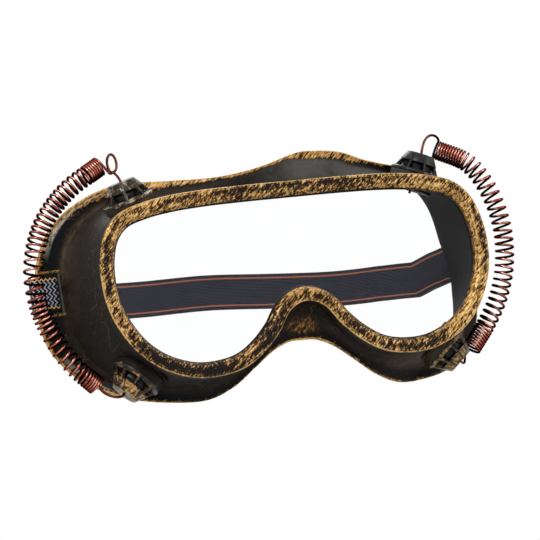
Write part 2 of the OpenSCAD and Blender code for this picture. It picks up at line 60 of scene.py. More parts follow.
def placeCamera():
    yaw, pitch, roll = (math.radians(shot[k]) for k in ("yaw", "pitch", "roll"))
    back = Vector((math.sin(yaw) * math.cos(pitch), -math.cos(yaw) * math.cos(pitch), math.sin(pitch)))
    right = Vector((math.cos(yaw), math.sin(yaw), 0))
    up = back.cross(right)
    r = right * math.cos(roll) - up * math.sin(roll)
    u = right * math.sin(roll) + up * math.cos(roll)
    place = back * shot["distance"] - r * shot["right"] - u * shot["up"] - Vector((0, shot["rimFront"], 0))
    data = bpy.data.cameras.new("photoCamera")
    data.lens, data.sensor_width = shot["focal"], shot["sensor"]
    data.clip_start, data.clip_end = 0.05, 20
    cam = bpy.data.objects.new("photoCamera", data)
    scene.collection.objects.link(cam)
    turn = Matrix((r, u, back)).transposed().to_4x4()
    cam.matrix_world = Matrix.Translation(place * mm) @ turn
    scene.camera = cam


placeCamera()
print("camera placed")


# node helpers
work = {}       # the node tree that is being filled


class Wire:     # a node's output, with sums and products of its own
    def __init__(self, socket):
        self.socket = socket

    def __add__(self, other):
        return calc("ADD", self, other)

    def __sub__(self, other):
        return calc("SUBTRACT", self, other)

    def __rsub__(self, other):
        return calc("SUBTRACT", other, self)

    def __mul__(self, other):
        return calc("MULTIPLY", self, other)


def newMaterial(name):
    mat = bpy.data.materials.new(name)
    mat.use_nodes = True
    work["tree"] = mat.node_tree
    return mat, mat.node_tree.nodes["Principled BSDF"]


def fill(socket, value):
    if isinstance(value, Wire):
        work["tree"].links.new(value.socket, socket)
    else:
        socket.default_value = (*value, 1) if socket.type == "RGBA" else value


def put(kind, values=None, **settings):
    n = work["tree"].nodes.new("ShaderNode" + kind)
    for key, value in settings.items():
        setattr(n, key, value)
    for key, value in (values or {}).items():
        fill(n.inputs[key], value)
    return n


def made(kind, values=None, output=0, **settings):
    return Wire(put(kind, values, **settings).outputs[output])


def calc(op, a, b=0.0):
    return made("Math", {0: a, 1: b}, operation=op)


def most(first, *others):
    for value in others:
        first = calc("MAXIMUM", first, value)
    return first


def spread(value, low, high, toLow=0.0, toHigh=1.0, smooth=True):
    return made("MapRange", {"Value": value, "From Min": low, "From Max": high, "To Min": toLow, "To Max": toHigh},
                interpolation_type="SMOOTHSTEP" if smooth else "LINEAR")


def zoneOf(value, low, high, soft):      # 1 between low and high, fading over soft
    return spread(value, low - soft, low + soft) * spread(value, high - soft, high + soft, 1, 0)


def track(value, pairs):      # a value that runs through the pairs of (place, height)
    low, high = min(h for _, h in pairs), max(h for _, h in pairs)
    ramp = put("ValToRGB", {0: value})
    stops = ramp.color_ramp.elements
    while len(stops) < len(pairs):
        stops.new(0.5)
    for stop, (place, _) in zip(stops, pairs):
        stop.position = place
    for stop, (_, height) in zip(stops, pairs):
        v = (height - low) / (high - low)
        stop.color = (v, v, v, 1)
    return spread(Wire(ramp.outputs[0]), 0, 1, low, high, False)


def here():
    return made("TexCoord", None, "Object")


def layer(word):
    return made("UVMap", None, uv_map=word)


def split(wire):
    return [Wire(s) for s in put("SeparateXYZ", {0: wire}).outputs]


def stretch(where, size, turn=(0, 0, 0)):
    return made("Mapping", {"Vector": where, "Scale": size, "Rotation": turn})


def noise(where, scale, detail, rough, distort=0.0):
    return made("TexNoise", {"Vector": where, "Scale": scale, "Detail": detail, "Roughness": rough,
                             "Distortion": distort}, "Fac")


def strokes(where, turn, fine, long, seed=0.0):     # short brush strokes in the plane of the lens
    moved = made("VectorMath", {0: where, 1: (seed, seed * 0.7, -seed)}, operation="ADD")
    turned = stretch(moved, (1, 1, 1), (0, math.radians(turn), 0))
    return noise(stretch(turned, (long, fine * 0.6, fine)), 1.0, 4, 0.6, 0.5)


def coated(colour, *coats):     # each coat is a share and a colour
    for share, coat in coats:
        colour = made("Mix", {0: share, 6: colour, 7: coat}, 2, data_type="RGBA")
    return colour


def bumpOf(height, strength, distance):
    return made("Bump", {"Height": height, "Strength": strength, "Distance": distance})


def feed(bsdf, **values):
    for key, value in values.items():
        fill(bsdf.inputs[socketOf[key]], value)


socketOf = {"colour": "Base Color", "rough": "Roughness", "metal": "Metallic", "normal": "Normal",
            "specular": "Specular IOR Level", "tint": "Specular Tint", "sheen": "Sheen Weight",
            "sheenRough": "Sheen Roughness", "glass": "Transmission Weight", "ior": "IOR"}


# mesh helpers
def smooth(mesh, angle):
    mesh.polygons.foreach_set("use_smooth", [True] * len(mesh.polygons))
    mesh.update()
    if angle:
        mesh.set_sharp_from_angle(angle=math.radians(angle))


def newMesh(name, points, faces, uv=None, smoothAngle=35, edge=None):
    mesh = bpy.data.meshes.new(name)
    mesh.from_pydata([tuple(p) for p in points], [], faces)
    for word, values in (("wrap", uv), ("edge", edge)):
        if values is not None:
            mesh.uv_layers.new(name=word).data.foreach_set("uv", np.asarray(values, np.float32).ravel())
    smooth(mesh, smoothAngle)
    obj = bpy.data.objects.new(name, mesh)
    scene.collection.objects.link(obj)
    return obj


def bake(obj, smoothAngle):      # makes the modifiers part of the mesh
    bpy.context.view_layer.update()
    done = bpy.data.meshes.new_from_object(obj.evaluated_get(bpy.context.evaluated_depsgraph_get()))
    obj.modifiers.clear()
    obj.data = done
    smooth(done, smoothAngle)


def cut(obj, cutter, smoothAngle):
    m = obj.modifiers.new("cut", "BOOLEAN")
    m.operation, m.solver, m.object = "DIFFERENCE", "EXACT", cutter
    bake(obj, smoothAngle)
    bpy.data.objects.remove(cutter)


def roundEdges(obj, width, limit, material, smoothAngle):       # the rounded edges get a material of their own
    m = obj.modifiers.new("edges", "BEVEL")
    m.width, m.segments, m.limit_method, m.angle_limit = width * mm, 2, "ANGLE", math.radians(limit)
    m.use_clamp_overlap, m.material = True, material
    bake(obj, smoothAngle)


notNear = (40, 0)       # in the edge layer: far from the flange's edge


def join(name, *objs):
    points, faces, uvs, edges, marks = [], [], [], [], []
    for o in objs:
        base = len(points)
        points += [o.matrix_world @ v.co for v in o.data.vertices]
        wrap, edge = (o.data.uv_layers.get(word) for word in ("wrap", "edge"))
        for p in o.data.polygons:
            faces.append([base + i for i in p.vertices])
            marks.append(p.material_index)
            uvs += [tuple(wrap.data[i].uv) if wrap else (0, 0) for i in p.loop_indices]
            edges += [tuple(edge.data[i].uv) if edge else notNear for i in p.loop_indices]
    out = newMesh(name, points, faces, uvs, edge=edges)
    out.data.polygons.foreach_set("material_index", marks)
    for o in objs:
        bpy.data.objects.remove(o)
    return out


def gridFaces(rows, n, loopRows, loopRing):
    faces, cells = [], []
    for i in range(rows if loopRows else rows - 1):
        for j in range(n if loopRing else n - 1):
            a, b = i * n, (i + 1) % rows * n
            k = (j + 1) % n
            faces.append((a + j, b + j, b + k, a + k))
            cells.append((i, j))
    return faces, cells


def quad(i, j):
    return (i, j), (i + 1, j), (i + 1, j + 1), (i, j + 1)


def barFaces(count, n):      # a bar with closed ends: its faces, and the row and place of each of their corners
    faces, cells = gridFaces(count, n, False, True)
    faces += [tuple(reversed(range(n))), tuple((count - 1) * n + j for j in range(n))]
    spots = [spot for i, j in cells for spot in quad(i, j)]
    return faces, spots + [(0, j) for j in reversed(range(n))] + [(count - 1, j) for j in range(n)]


def roundBox(w, h, r, steps, between=0):      # a rounded section, with points between the corners of its long sides
    ring = []
    for sx, sy, start in ((1, 1, 0), (-1, 1, 90), (-1, -1, 180), (1, -1, 270)):
        for k in range(steps + 1):
            a = math.radians(start + 90 / steps * k)
            ring.append((sx * (w - r) + r * math.cos(a), sy * (h - r) + r * math.sin(a)))
        if sx != sy:
            ring += [(sx * w, sy * (h - r) * (1 - 2 * k / (between + 1))) for k in range(1, between + 1)]
    return ring


def rounding(a, p, b, t):       # a smooth corner from a to b under p
    return a * (1 - t) ** 2 + p * 2 * t * (1 - t) + b * t * t


def lengths(points):        # how far along the line each point lies
    long = [0.0]
    for a, b in zip(points, points[1:]):
        long.append(long[-1] + (b - a).length)
    return long


def wayAt(points, i):
    return (points[min(len(points) - 1, i + 1)] - points[max(0, i - 1)]).normalized()


def lathe(name, profile, segments, closed=True, uvOf=None):
    # profile is a list of (radius, height) that runs round a closed section or from axis to axis
    n = len(profile)
    turns = [2 * math.pi * s / segments for s in range(segments)]
    points = [(r * math.cos(a) * mm, r * math.sin(a) * mm, z * mm) for a in turns for r, z in profile]
    faces, uvs = [], []
    for ring, (s, j) in zip(*gridFaces(segments, n, True, closed)):
        ring = list(dict.fromkeys(i % n if profile[i % n][0] == 0 else i for i in ring))
        if len(ring) > 2:
            faces.append(ring)
            uvs += [uvOf or (s / segments, j / n)] * len(ring)
    used = sorted({i for f in faces for i in f})
    new = {old: k for k, old in enumerate(used)}
    return newMesh(name, [points[i] for i in used], [[new[i] for i in f] for f in faces], uvs)


paintedHighlightWay = Vector((-0.35, -0.85, 0.4)).normalized()       # the way that the curls' painted highlight faces


def tube(name, points, radius, sides, outward=None):    # points in mm; outward gives each point's way out
    side, rows = Vector((0.3, 0.9, 0.3)), []
    for i, p in enumerate(points):      # the rows never twist over
        t = wayAt(points, i)
        side = (side - t * side.dot(t)).normalized()
        up = t.cross(side)
        rows.append([p + (side * math.cos(a) + up * math.sin(a)) * radius
                     for a in (2 * math.pi * j / sides for j in range(sides))])
    faces, spots = barFaces(len(rows), sides)
    spots, ends, long = spots[:-2 * sides], [(0, 0)] * (2 * sides), lengths(points)
    uvs = [(long[i], j / sides) for i, j in spots] + ends
    out = None
    if outward:
        share = [[(q - p).normalized().dot(w) for q in row] for p, w, row in zip(points, outward, rows)]
        out = [(share[i][j % sides], outward[i].dot(paintedHighlightWay)) for i, j in spots] + ends
    return newMesh(name, [p * mm for r in rows for p in r], faces, uvs, 60, out)


# the moulding's outline
rim = {
    "wide": 159, "high": 71, "face": 6.2, "bevel": 2, "proud": 3, "back": 3.6, "step": 1,
    "lensThick": 2, "lensGrip": 2.2, "clear": 0.15,
    # half outline from the top centre round the right side to the nose, as shares of half the size
    "half": [(0, 1), (0.163, 1), (0.314, 0.997), (0.453, 0.989), (0.603, 0.966), (0.742, 0.918), (0.868, 0.823),
             (0.95, 0.634), (0.991, 0.366), (1, 0.085), (0.983, -0.183), (0.937, -0.437), (0.862, -0.676),
             (0.755, -0.862), (0.616, -0.978), (0.478, -0.992), (0.352, -0.93), (0.245, -0.783), (0.157, -0.592),
             (0.088, -0.389), (0, -0.31)],
}
seal = {
    "depth": 9, "wrap": 32, "reach": 13.4, "flange": 4.6, "temple": 10.4, "thick": 2, "fillet": 3.6, "wall": 2.2,
    "lean": 16, "skew": 3, "browSkew": 1.5, "browDip": 1.6, "flat": 0.985,
    "half": [(0, 0.948), (0.075, 0.888), (0.075, 0.627), (0.149, 0.507), (0.224, 0.56), (0.373, 0.709),
             (0.522, 0.586), (0.746, 0.425), (0.91, 0.194), (1, -0.224), (1.03, -0.41), (0.97, -0.545), (0.784, -0.634),
             (0.448, -0.67), (0.224, -0.61), (0.11, -0.62), (0.1, -0.5), (0.09, -0.43), (0.03, -0.52),
             (-0.075, -0.836), (0, -1.015)],
}
sideWord = {-1: "Left", 1: "Right"}
halfWide, halfHigh = rim["wide"] / 2, rim["high"] / 2
spans = 2 * (len(rim["half"]) - 1)
browSpan, browFlank = rim["wide"] * 0.535, rim["wide"] * 0.23


def spline(a, b, c, d, t):
    return 0.5 * (2 * b + (c - a) * t + (2 * a - 5 * b + 4 * c - d) * t * t + (3 * b - a - 3 * c + d) * t ** 3)


def onLoop(pts, u):
    n = len(pts)
    w = u % n
    i = int(w)
    return spline(pts[i - 1], pts[i], pts[(i + 1) % n], pts[(i + 2) % n], w - i)


def onPath(pts, u):
    n = len(pts)
    i = min(n - 2, max(0, int(math.floor(u))))
    a = pts[i - 1] if i > 0 else 2 * pts[0] - pts[1]
    d = pts[i + 2] if i < n - 2 else 2 * pts[n - 1] - pts[n - 2]
    return spline(a, pts[i], pts[i + 1], d, u - i)


def hump(d, half):
    return math.cos(math.pi / 2 * min(1, abs(d) / half)) ** 2


def sided(half, i):
    return (half[i], 1) if i < len(half) else (half[spans - i], -1)


def rimCorner(i):
    p, side = sided(rim["half"], i)
    return Vector((side * p[0] * halfWide, p[1] * halfHigh))


def leaning(p):     # the soft moulding isn't quite even
    x, z = p
    if z > 0:
        z2 = seal["browDip"] * (hump(x - browFlank, 0.8 * browFlank) - hump(x + browFlank, 0.8 * browFlank))
        x2 = seal["lean"] * (seal["browSkew"] if x < 0 else 1) * hump(x, browSpan)
    else:
        x2 = z2 = 0
    return Vector((x + x2, z - seal["skew"] * x / (halfWide + seal["reach"]) + z2))


def sealCorner(i):
    s, side = sided(seal["half"], i)
    return leaning(rimCorner(i) + Vector((side * s[0], s[1])) * seal["reach"])


rimLoop = [rimCorner(i) for i in range(spans)]
sealLoop = [sealCorner(i) for i in range(spans)]


def rimIn(u, d):
    way = onLoop(rimLoop, u + 0.05) - onLoop(rimLoop, u - 0.05)
    return onLoop(rimLoop, u) + Vector((way.y, -way.x)).normalized() * d


def sealDepth(x):
    return seal["depth"] + seal["wrap"] * min(1, abs(x) / (seal["flat"] * (halfWide + seal["reach"]))) ** 2


def sealIn(u, d):
    f = onLoop(sealLoop, u)
    return f - (f - onLoop(rimLoop, u)).normalized() * d


def flangeAt(u):
    share = (abs(onLoop(sealLoop, u).x) / (halfWide + seal["reach"])) ** 6
    return seal["flange"] + (seal["temple"] - seal["flange"]) * share


def at(p, y):
    return Vector((p.x, y, p.y))


def skirt(u, s):
    a = at(rimIn(u, rim["step"]), rim["back"] + rim["step"] * 0.8)
    b = at(sealIn(u, flangeAt(u)), sealDepth(onLoop(sealLoop, u).x) - seal["thick"])
    return a.lerp(b, s)


def skirtNormal(u, s):
    return (skirt(u + 0.2, s) - skirt(u - 0.2, s)).cross(skirt(u, s + 0.1) - skirt(u, s - 0.1)).normalized()


def section(u):     # the same corners as the solid's, each with the radius that rounds it
    f = onLoop(sealLoop, u)
    y = sealDepth(f.x)
    flange, thick = flangeAt(u), seal["thick"]
    root = skirt(u, 1)
    depth = (root - skirt(u, 0)).length
    bend = min(seal["fillet"], 0.6 * flange, 0.5 * depth)
    face, front, back, clear = rim["face"], -rim["proud"], rim["back"], rim["clear"]
    groove, keep, lensBack = face - rim["lensGrip"] - clear, face - 0.9, rim["lensThick"] + clear

    def onRim(d, y, r):
        return at(rimIn(u, d), y), r
    return [
        onRim(0.7, front, 0.6), onRim(0, 0.7 + front, 0.6), onRim(0, back, 0.35), (skirt(u, 0), 0.5),
        (skirt(u, 1 - bend / depth), 0), (root, -1), (at(sealIn(u, flange - bend), y - thick), 0),
        (at(f, y - thick), 0.85), (at(f, y), 0.85), (at(sealIn(u, flange + seal["wall"]), y), 1.4),
        onRim(rim["step"] + seal["wall"], back + 1.4, 0.8), onRim(keep, lensBack + 1.6, 0.4), onRim(keep, lensBack, 0),
        onRim(groove, lensBack, 0), onRim(groove, -clear, 0), onRim(face, -clear, 0.1),
        onRim(face, -clear - 0.6, 0.25), onRim(face - rim["bevel"], front, 0.7),
    ]


corners = 18
splits = {3: 5, 9: 6, 17: 2, 6: 2, 8: 2}      # by corner: extra rows along the straight run after it


def profileRow(u):
    pts = section(u)
    row, marks = [], []
    for i, (p, r) in enumerate(pts):
        before, (after, nextR) = pts[i - 1][0], pts[(i + 1) % corners]
        if r < 0:       # the rounded corner between the skirt and the flange
            for k in range(1, 8):
                row.append(rounding(before, p, after, k / 8))
                marks.append(i - 1 + k / 4)
            continue
        if r == 0:
            row.append(p)
            marks.append(i)
        else:
            la, lb = (before - p).length, (after - p).length
            ra, rb = min(r / la, 0.45), min(r / lb, 0.45)
            for k in range(5):
                t = k / 4
                row.append(rounding(p.lerp(before, ra), p, p.lerp(after, rb), t))
                marks.append(i + (ra if t < 0.5 else rb) * (2 * t - 1))
        if i in splits:
            first, stop = marks[-1] - i, 1 - min(max(nextR, 0) / (after - p).length, 0.45)
            for k in range(1, splits[i] + 1):
                s = first + (stop - first) * k / (splits[i] + 1)
                row.append(p.lerp(after, s))
                marks.append(i + s)
    return row, marks


body = {"stations": 11, "holeSides": 64}
vent = {
    "across": 20, "high": 7.6, "top": 10.5, "windows": 8, "wall": 1.2, "barrel": 12.4, "barrelWall": 1.1,
    "barrelClear": 0.15, "airGap": 0.6, "seat": 1, "seatInset": 0.6, "seatIn": 3.2, "barrelIn": 1.5,
    "grille": 1.2, "grilleRim": 1.6, "brim": 1, "brimRoom": 2.4, "gap": 0.3, "socket": 1,
    # by corner: place round the outline, place across the skirt, lean outwards and back, rise off the skirt
    "UpperLeft": (5.04, 0.38, 0, 0.285, 0), "UpperRight": (4.88, 0.4, 0.1, 0.01, 1.2),
    "LowerLeft": (12.62, 0.5, 0.185, 0.3, 0), "LowerRight": (13.1, 0.42, 0.17, 0.165, 0),
}
ventNode = {up + side: up.lower() + "_" + side.lower() for up in ("Upper", "Lower") for side in sideWord.values()}
plainUv, darkUv = (0.5, 4.2 / corners), (0.5, 0.62)      # on the skirt and on the inside


def ventSpot(key):
    u, s, out, back, lift = vent[key]
    return (u, s, Vector((out, back, 0)), lift) if "Right" in key else (spans - u, s, Vector((-out, back, 0)), lift)


def ventFrame(key):    # place, and axes with z out of the skirt, in mm
    u, s, lean, lift = ventSpot(key)
    z = (skirtNormal(u, s) + lean).normalized()
    x = Vector((0, 1, 0)).cross(z).normalized()
    return skirt(u, s) + z * lift, x, z.cross(x), z


def ventMatrix(key):
    b, x, y, z = ventFrame(key)
    return Matrix.Translation(b * mm) @ Matrix((x, y, z)).transposed().to_4x4()


def makeSocket(key):       # the wall round a leaning brim, kept below the skirt's outside and off the rim
    u, s, _, _ = ventSpot(key)
    b, x, y, z = ventFrame(key)
    base, square = skirt(u, s), skirtNormal(u, s)
    low, shelf = -vent["seatIn"], vent["seat"] - vent["gap"]
    brim = vent["across"] / 2 + vent["gap"]
    inner, outer = brim - 0.7, brim + vent["socket"]
    n = body["holeSides"]

    def topAt(a, r):
        p = b + (x * math.cos(a) + y * math.sin(a)) * r
        high = (-0.8 * seal["wall"] - (p - base).dot(square)) / z.dot(square)
        if z.y < 0:
            high = min(high, (rim["back"] + 2 - p.y) / z.y)
        return max(low + 0.02, min(high, vent["across"] / 2))
    points = []
    for k in range(n):
        a = 2 * math.pi * k / n
        top = topAt(a, brim)
        for r, h in ((inner, low), (outer, low), (outer, topAt(a, outer)), (brim, top), (brim, min(shelf, top)),
                     (inner, min(shelf, top))):
            points.append((r * math.cos(a) * mm, r * math.sin(a) * mm, h * mm))
    faces = gridFaces(n, 6, True, True)[0]
    return placed(newMesh("socket", points, faces, [plainUv] * (4 * len(faces))), ventMatrix(key))


strap = {"wide": 15, "thick": 1.3, "reach": 104, "turn": 27, "bow": 4.6, "slot": 5.5, "bar": 3.8, "slotClear": 0.35,
         "slotU": 8.7, "fold": 9, "swingGap": 0.8, "gap": 0.3,
         # the right side's rise at places along the strap from its swing point: it kinks where the doubled end stops
         "kink": ((-17, 0), (-11, 1.2), (-5, 2), (3, 0.9), (12, -1.1), (20, -0.5), (30, 0))}
slotHigh = {side: onLoop(sealLoop, side * strap["slotU"]).y for side in sideWord}
tipX = onLoop(sealLoop, strap["slotU"]).x
tipY = sealDepth(tipX)
slotX = tipX - strap["bar"] - strap["slot"] / 2


def placed(obj, matrix):
    obj.data.transform(matrix)
    return obj


def slotCutter(side):
    ring = roundBox(strap["slot"] / 2, strap["wide"] / 2 + strap["slotClear"], 1.2, 6)
    n = len(ring)
    points = [((side * slotX + x) * mm, (tipY + y) * mm, (slotHigh[side] + z) * mm) for y in (-9, 4) for x, z in ring]
    faces = [(j, n + j, n + (j + 1) % n, (j + 1) % n) for j in range(n)]
    faces += [tuple(range(n)), tuple(reversed(range(n, 2 * n)))]
    return newMesh("slotCutter", points, faces, [darkUv] * (6 * n))


def makeBody():
    rows, gaps, uvs, edges = [], [], [], []
    count = spans * body["stations"]
    for i in range(count):
        row, marks = profileRow(i / body["stations"])
        lip = onLoop(sealLoop, i / body["stations"])
        lip = at(lip, sealDepth(lip.x) - seal["thick"] / 2)
        rows.append(row)
        gaps.append([(p - lip).length for p in row])       # how far each point lies from the flange's edge, in mm
    n = len(rows[0])
    faces, cells = gridFaces(count, n, True, True)
    faces = [tuple(reversed(f)) for f in faces]
    marks.append(corners + marks[0])
    for i, j in cells:
        for a, b in reversed(quad(i, j)):
            uvs.append((a / count, marks[b] / corners))
            edges.append((gaps[a % count][b % n], a / count))
    shell = newMesh("shell", [p * mm for r in rows for p in r], faces, uvs, edge=edges)
    hole, floor = vent["barrel"] / 2 + vent["barrelClear"], -vent["seatIn"]
    grille = vent["barrel"] / 2 + vent["grilleRim"] + vent["gap"]
    deep = floor - vent["grille"] - vent["barrelIn"] - vent["gap"]
    brim, low = vent["across"] / 2 + vent["gap"], vent["seat"] - vent["gap"]
    top = vent["seat"] + vent["brim"] + vent["brimRoom"]
    bore = [(0, deep), (grille, deep), (grille, floor), (hole, floor), (hole, low), (brim, low), (brim, top), (0, top)]
    cutters = [placed(lathe("hole", bore, body["holeSides"], False, darkUv), ventMatrix(key)) for key in ventNode]
    cut(shell, join("cutters", *cutters, *(slotCutter(side) for side in sideWord)), 32)
    r, top = vent["across"] / 2 - vent["seatInset"] / 2, vent["seat"]
    ring = [(hole, floor), (r - 0.8, floor), (r - 0.25, floor + 0.25), (r, floor + 0.8), (r, top - 0.2), (r - 0.2, top),
            (hole, top)]
    seats = []
    for key in ventNode:
        seats += [placed(lathe("seat", ring, body["holeSides"], True, plainUv), ventMatrix(key)), makeSocket(key)]
    return join("goggleBody", shell, *seats)


goggleBody = makeBody()
print("body built:", len(goggleBody.data.vertices), "points")

# gold rubbed over black
paint = {
    "gold": (0.32, 0.165, 0.04), "goldLight": (0.68, 0.46, 0.2), "goldDeep": (0.11, 0.052, 0.015),
    "black": (0.0075, 0.006, 0.005), "skirt": (0.006, 0.0048, 0.0036), "inside": (0.0062, 0.0062, 0.0075),
    "paintedFilletHighlight": (0.15, 0.105, 0.07), "paintedTopHighlight": (0.062, 0.059, 0.055), "line": (0.005, 0.006, 0.009),
    "scuff": (0.16, 0.105, 0.05), "paintedPaleHighlight": (0.55, 0.50, 0.42), "slot": (0.07, 0.07, 0.07),
    "strokeTurn": 42, "strokeFine": 2100, "strokeLong": 340,
    # along the share round the rim, from the top centre over the right side: how much gold, how wide the lip is
    # in mm, how strong the painted pale highlight is
    "cover": ((0, -0.035), (0.05, -0.028), (0.1, -0.008), (0.15, -0.012), (0.2, 0.0), (0.27, 0.004), (0.32, -0.01),
              (0.38, -0.035), (0.44, -0.026), (0.49, -0.012), (0.515, -0.02), (0.535, -0.05), (0.62, -0.055),
              (0.68, -0.048), (0.73, -0.026), (0.78, -0.018), (0.84, 0.0), (0.9, -0.004), (0.95, -0.032), (1, -0.035)),
    "lip": ((0, 4.6), (0.03, 3.8), (0.06, 1.8), (0.13, 0.5), (0.3, 0.4), (0.45, 0.3), (0.49, 0.9), (0.52, 0.9),
            (0.55, 0.2), (0.63, 0.2), (0.68, 0.8), (0.72, 1.1), (0.78, 1.1), (0.82, 2.0), (0.87, 3.0), (0.92, 2.6),
            (0.945, 4.2), (1, 4.6)),
    "paleHighlightStrength": ((0, 0), (0.685, 0), (0.7, 0.8), (0.715, 0.8), (0.73, 0), (0.805, 0), (0.83, 1), (0.86, 1),
                 (0.875, 0.3), (0.9, 0.8), (0.935, 0.8), (0.955, 0), (1, 0)),
}


def bodyMaterial():
    mat, bsdf = newMaterial("rubbedGold")
    where = here()
    x, _, z = split(where)
    around, zone, _ = split(layer("wrap"))
    zone = zone * corners       # counts the section's corners
    lip = split(layer("edge"))[0]        # mm from the flange's edge

    turn, fine, long = (paint["stroke" + word] for word in ("Turn", "Fine", "Long"))
    brush = strokes(where, turn, fine, long)
    cross = strokes(where, turn + 50, fine * 0.8, long * 1.1, 3.1)
    wide = strokes(where, turn - 8, fine * 0.32, long * 0.5, 1.3)
    cloud = noise(where, 60, 3, 0.55)
    fleck = noise(where, 2600, 2, 0.6)
    grit = noise(where, 800, 5, 0.75, 0.8)
    patchy = grit * 0.6 + cloud * 0.4

    # the rim's face: fine black strokes through the gold
    cover = (brush * 0.4 + cross * 0.22 + wide * 0.18 + grit * 0.2 + (cloud - 0.5) * 0.14
             + track(around, paint["cover"]) + spread(zone, 17.0, 17.35, 1, 0) * 0.02
             + zoneOf(zone, 17.4, 17.9, 0.15) * -0.015)
    onFace = most(spread(zone, 16.2, 16.3), spread(zone, 1.0, 1.15, 1, 0))
    outerLine = zoneOf(zone, 0.42, 0.98, 0.1) * spread(patchy, 0.42, 0.52)
    # pale gold on the rim's inner ridge, on the right and just past the nose: rubbed gold with a painted highlight
    ridgeGoldAndHighlight = (zoneOf(zone, 16.95, 17.06, 0.04) * most(zoneOf(around, 0.19, 0.31, 0.02), zoneOf(around, 0.53, 0.59, 0.01))
             * spread(grit * 0.5 + cloud * 0.5, 0.46, 0.56))
    bevel = zoneOf(zone, 15.95, 16.3, 0.06) * spread(x, 0.035, 0.07) * spread(cover, 0.49, 0.55)
    side = zoneOf(zone, 1.0, 3.3, 0.2) * spread(cover, 0.53, 0.6) * 0.6
    level = onFace * cover + (1.0 - onFace) * 0.3
    deep = spread(level, 0.468, 0.49)
    mid = spread(level, 0.49, 0.515)
    high = spread(level + (brush - 0.5) * 0.3, 0.535, 0.58)

    # the flange: a scratched gold lip, widest on the brow, a painted pale highlight on its face, then a painted shadow
    # line and the fillet
    brow = zoneOf(around, 0.04, 0.935, 0.012)
    onFlange = zoneOf(zone, spread(brow, 0, 1, 4.1, 5.0), 8.5, 0.3)
    lipWide = track(around, paint["lip"])
    lipCover = brush * 0.55 + wide * 0.25 + grit * 0.2 + calc("MINIMUM", lipWide - lip, 0.45) * 0.075
    lipGold = onFlange * spread(lipCover, 0.47, 0.5)
    lipLine = onFlange * spread(lip, 1.3, 1.08) * spread(patchy + calc("MINIMUM", lipWide, 1.5) * 0.12, 0.52, 0.62)
    # a painted shadow line where the flange meets the fillet, on the left side
    seam = zoneOf(zone, 5.72, 6.12, 0.07) * spread(x, -0.02, -0.04)
    # a painted pale highlight on the flange's face, on the upper left and the lower left
    paintedPaleHighlight = (zoneOf(zone, 6.2, 7.0, 0.06) * track(around, paint["paleHighlightStrength"]) * spread(lip, 1.4, 2.0)
            * spread(brush * 0.5 + grit * 0.2 + cloud * 0.3, 0.41, 0.52))

    # the strap slot's ends carry a rubbed bead
    slotDx = calc("ABSOLUTE", x) - slotX * mm
    slotDz = calc("ABSOLUTE", z - spread(x, -0.01, 0.01, slotHigh[-1] * mm, slotHigh[1] * mm))
    slotEnd = (strap["wide"] / 2 + strap["slotClear"]) * mm
    bead = (zoneOf(slotDz, slotEnd, slotEnd + 0.0009, 0.0002) * zoneOf(slotDx, -0.0034, 0.0045, 0.0006)
            * spread(zone, 3, 3.2) * spread(zone, 8.0, 7.8))
    beadGold = bead * spread(brush * 0.6 + grit * 0.4, 0.42, 0.54)
    # a painted pale highlight on the slot's inner wall at its inner end
    paintedSlotHighlight = (zoneOf(slotDx, -0.0033, -0.0027, 0.0001) * spread(slotDz, slotEnd, slotEnd - 0.0005)
               * spread(grit, 0.36, 0.5, 0.3, 1))

    # the skirt: near black and scratched, with a painted brown highlight along the fillet, strongest on the upper left
    # and weaker low on the right
    left = spread(x, -0.03, -0.065)
    foot = spread(x, 0.02, 0.04) * spread(z, -0.022, -0.03)
    fillet = zoneOf(zone, 3.9, 4.9, 0.6)
    paintedFilletHighlight = spread(cloud * 0.8 + wide * 0.5, 0.42, 0.78) * most(
        fillet * left * spread(z, -0.012, 0.012, 0.06, 0.75), foot * zoneOf(zone, 3.2, 4.6, 0.6) * 0.3, fillet * 0.1)
    # a painted grey highlight on the skirt's top right
    paintedTopHighlight = spread(z, 0.026, 0.034) * zoneOf(x, -0.004, 0.06, 0.012) * zoneOf(zone, 3.0, 4.8, 0.5)
    cells = {"Vector": stretch(where, (95, 95, 95), (0.5, 0.3, 0.9)), "Scale": 1.0, "Randomness": 1.0}
    crack = made("TexVoronoi", cells, "Distance", feature="DISTANCE_TO_EDGE")
    scratch = spread(crack, 0.0, 0.014, 1, 0) * spread(noise(where, 130, 2, 0.5), 0.54, 0.62) * 0.7
    hair = spread(strokes(where, -62, 2400, 90, 7.7), 0.64, 0.71)
    worn = zoneOf(zone, 2.6, 5.6, 0.25) * most(scratch, hair, spread(fleck, 0.67, 0.73)) * 0.55
    inside = zoneOf(zone, 8.6, 15.7, 0.15)
    nose = (spread(calc("ABSOLUTE", x), 0.008, 0.003) * zoneOf(zone, 4.0, 5.6, 0.6) * spread(z, 0.0, -0.01))
    noseCover = brush * 0.4 + cross * 0.3 + grit * 0.3 + nose * 0.03

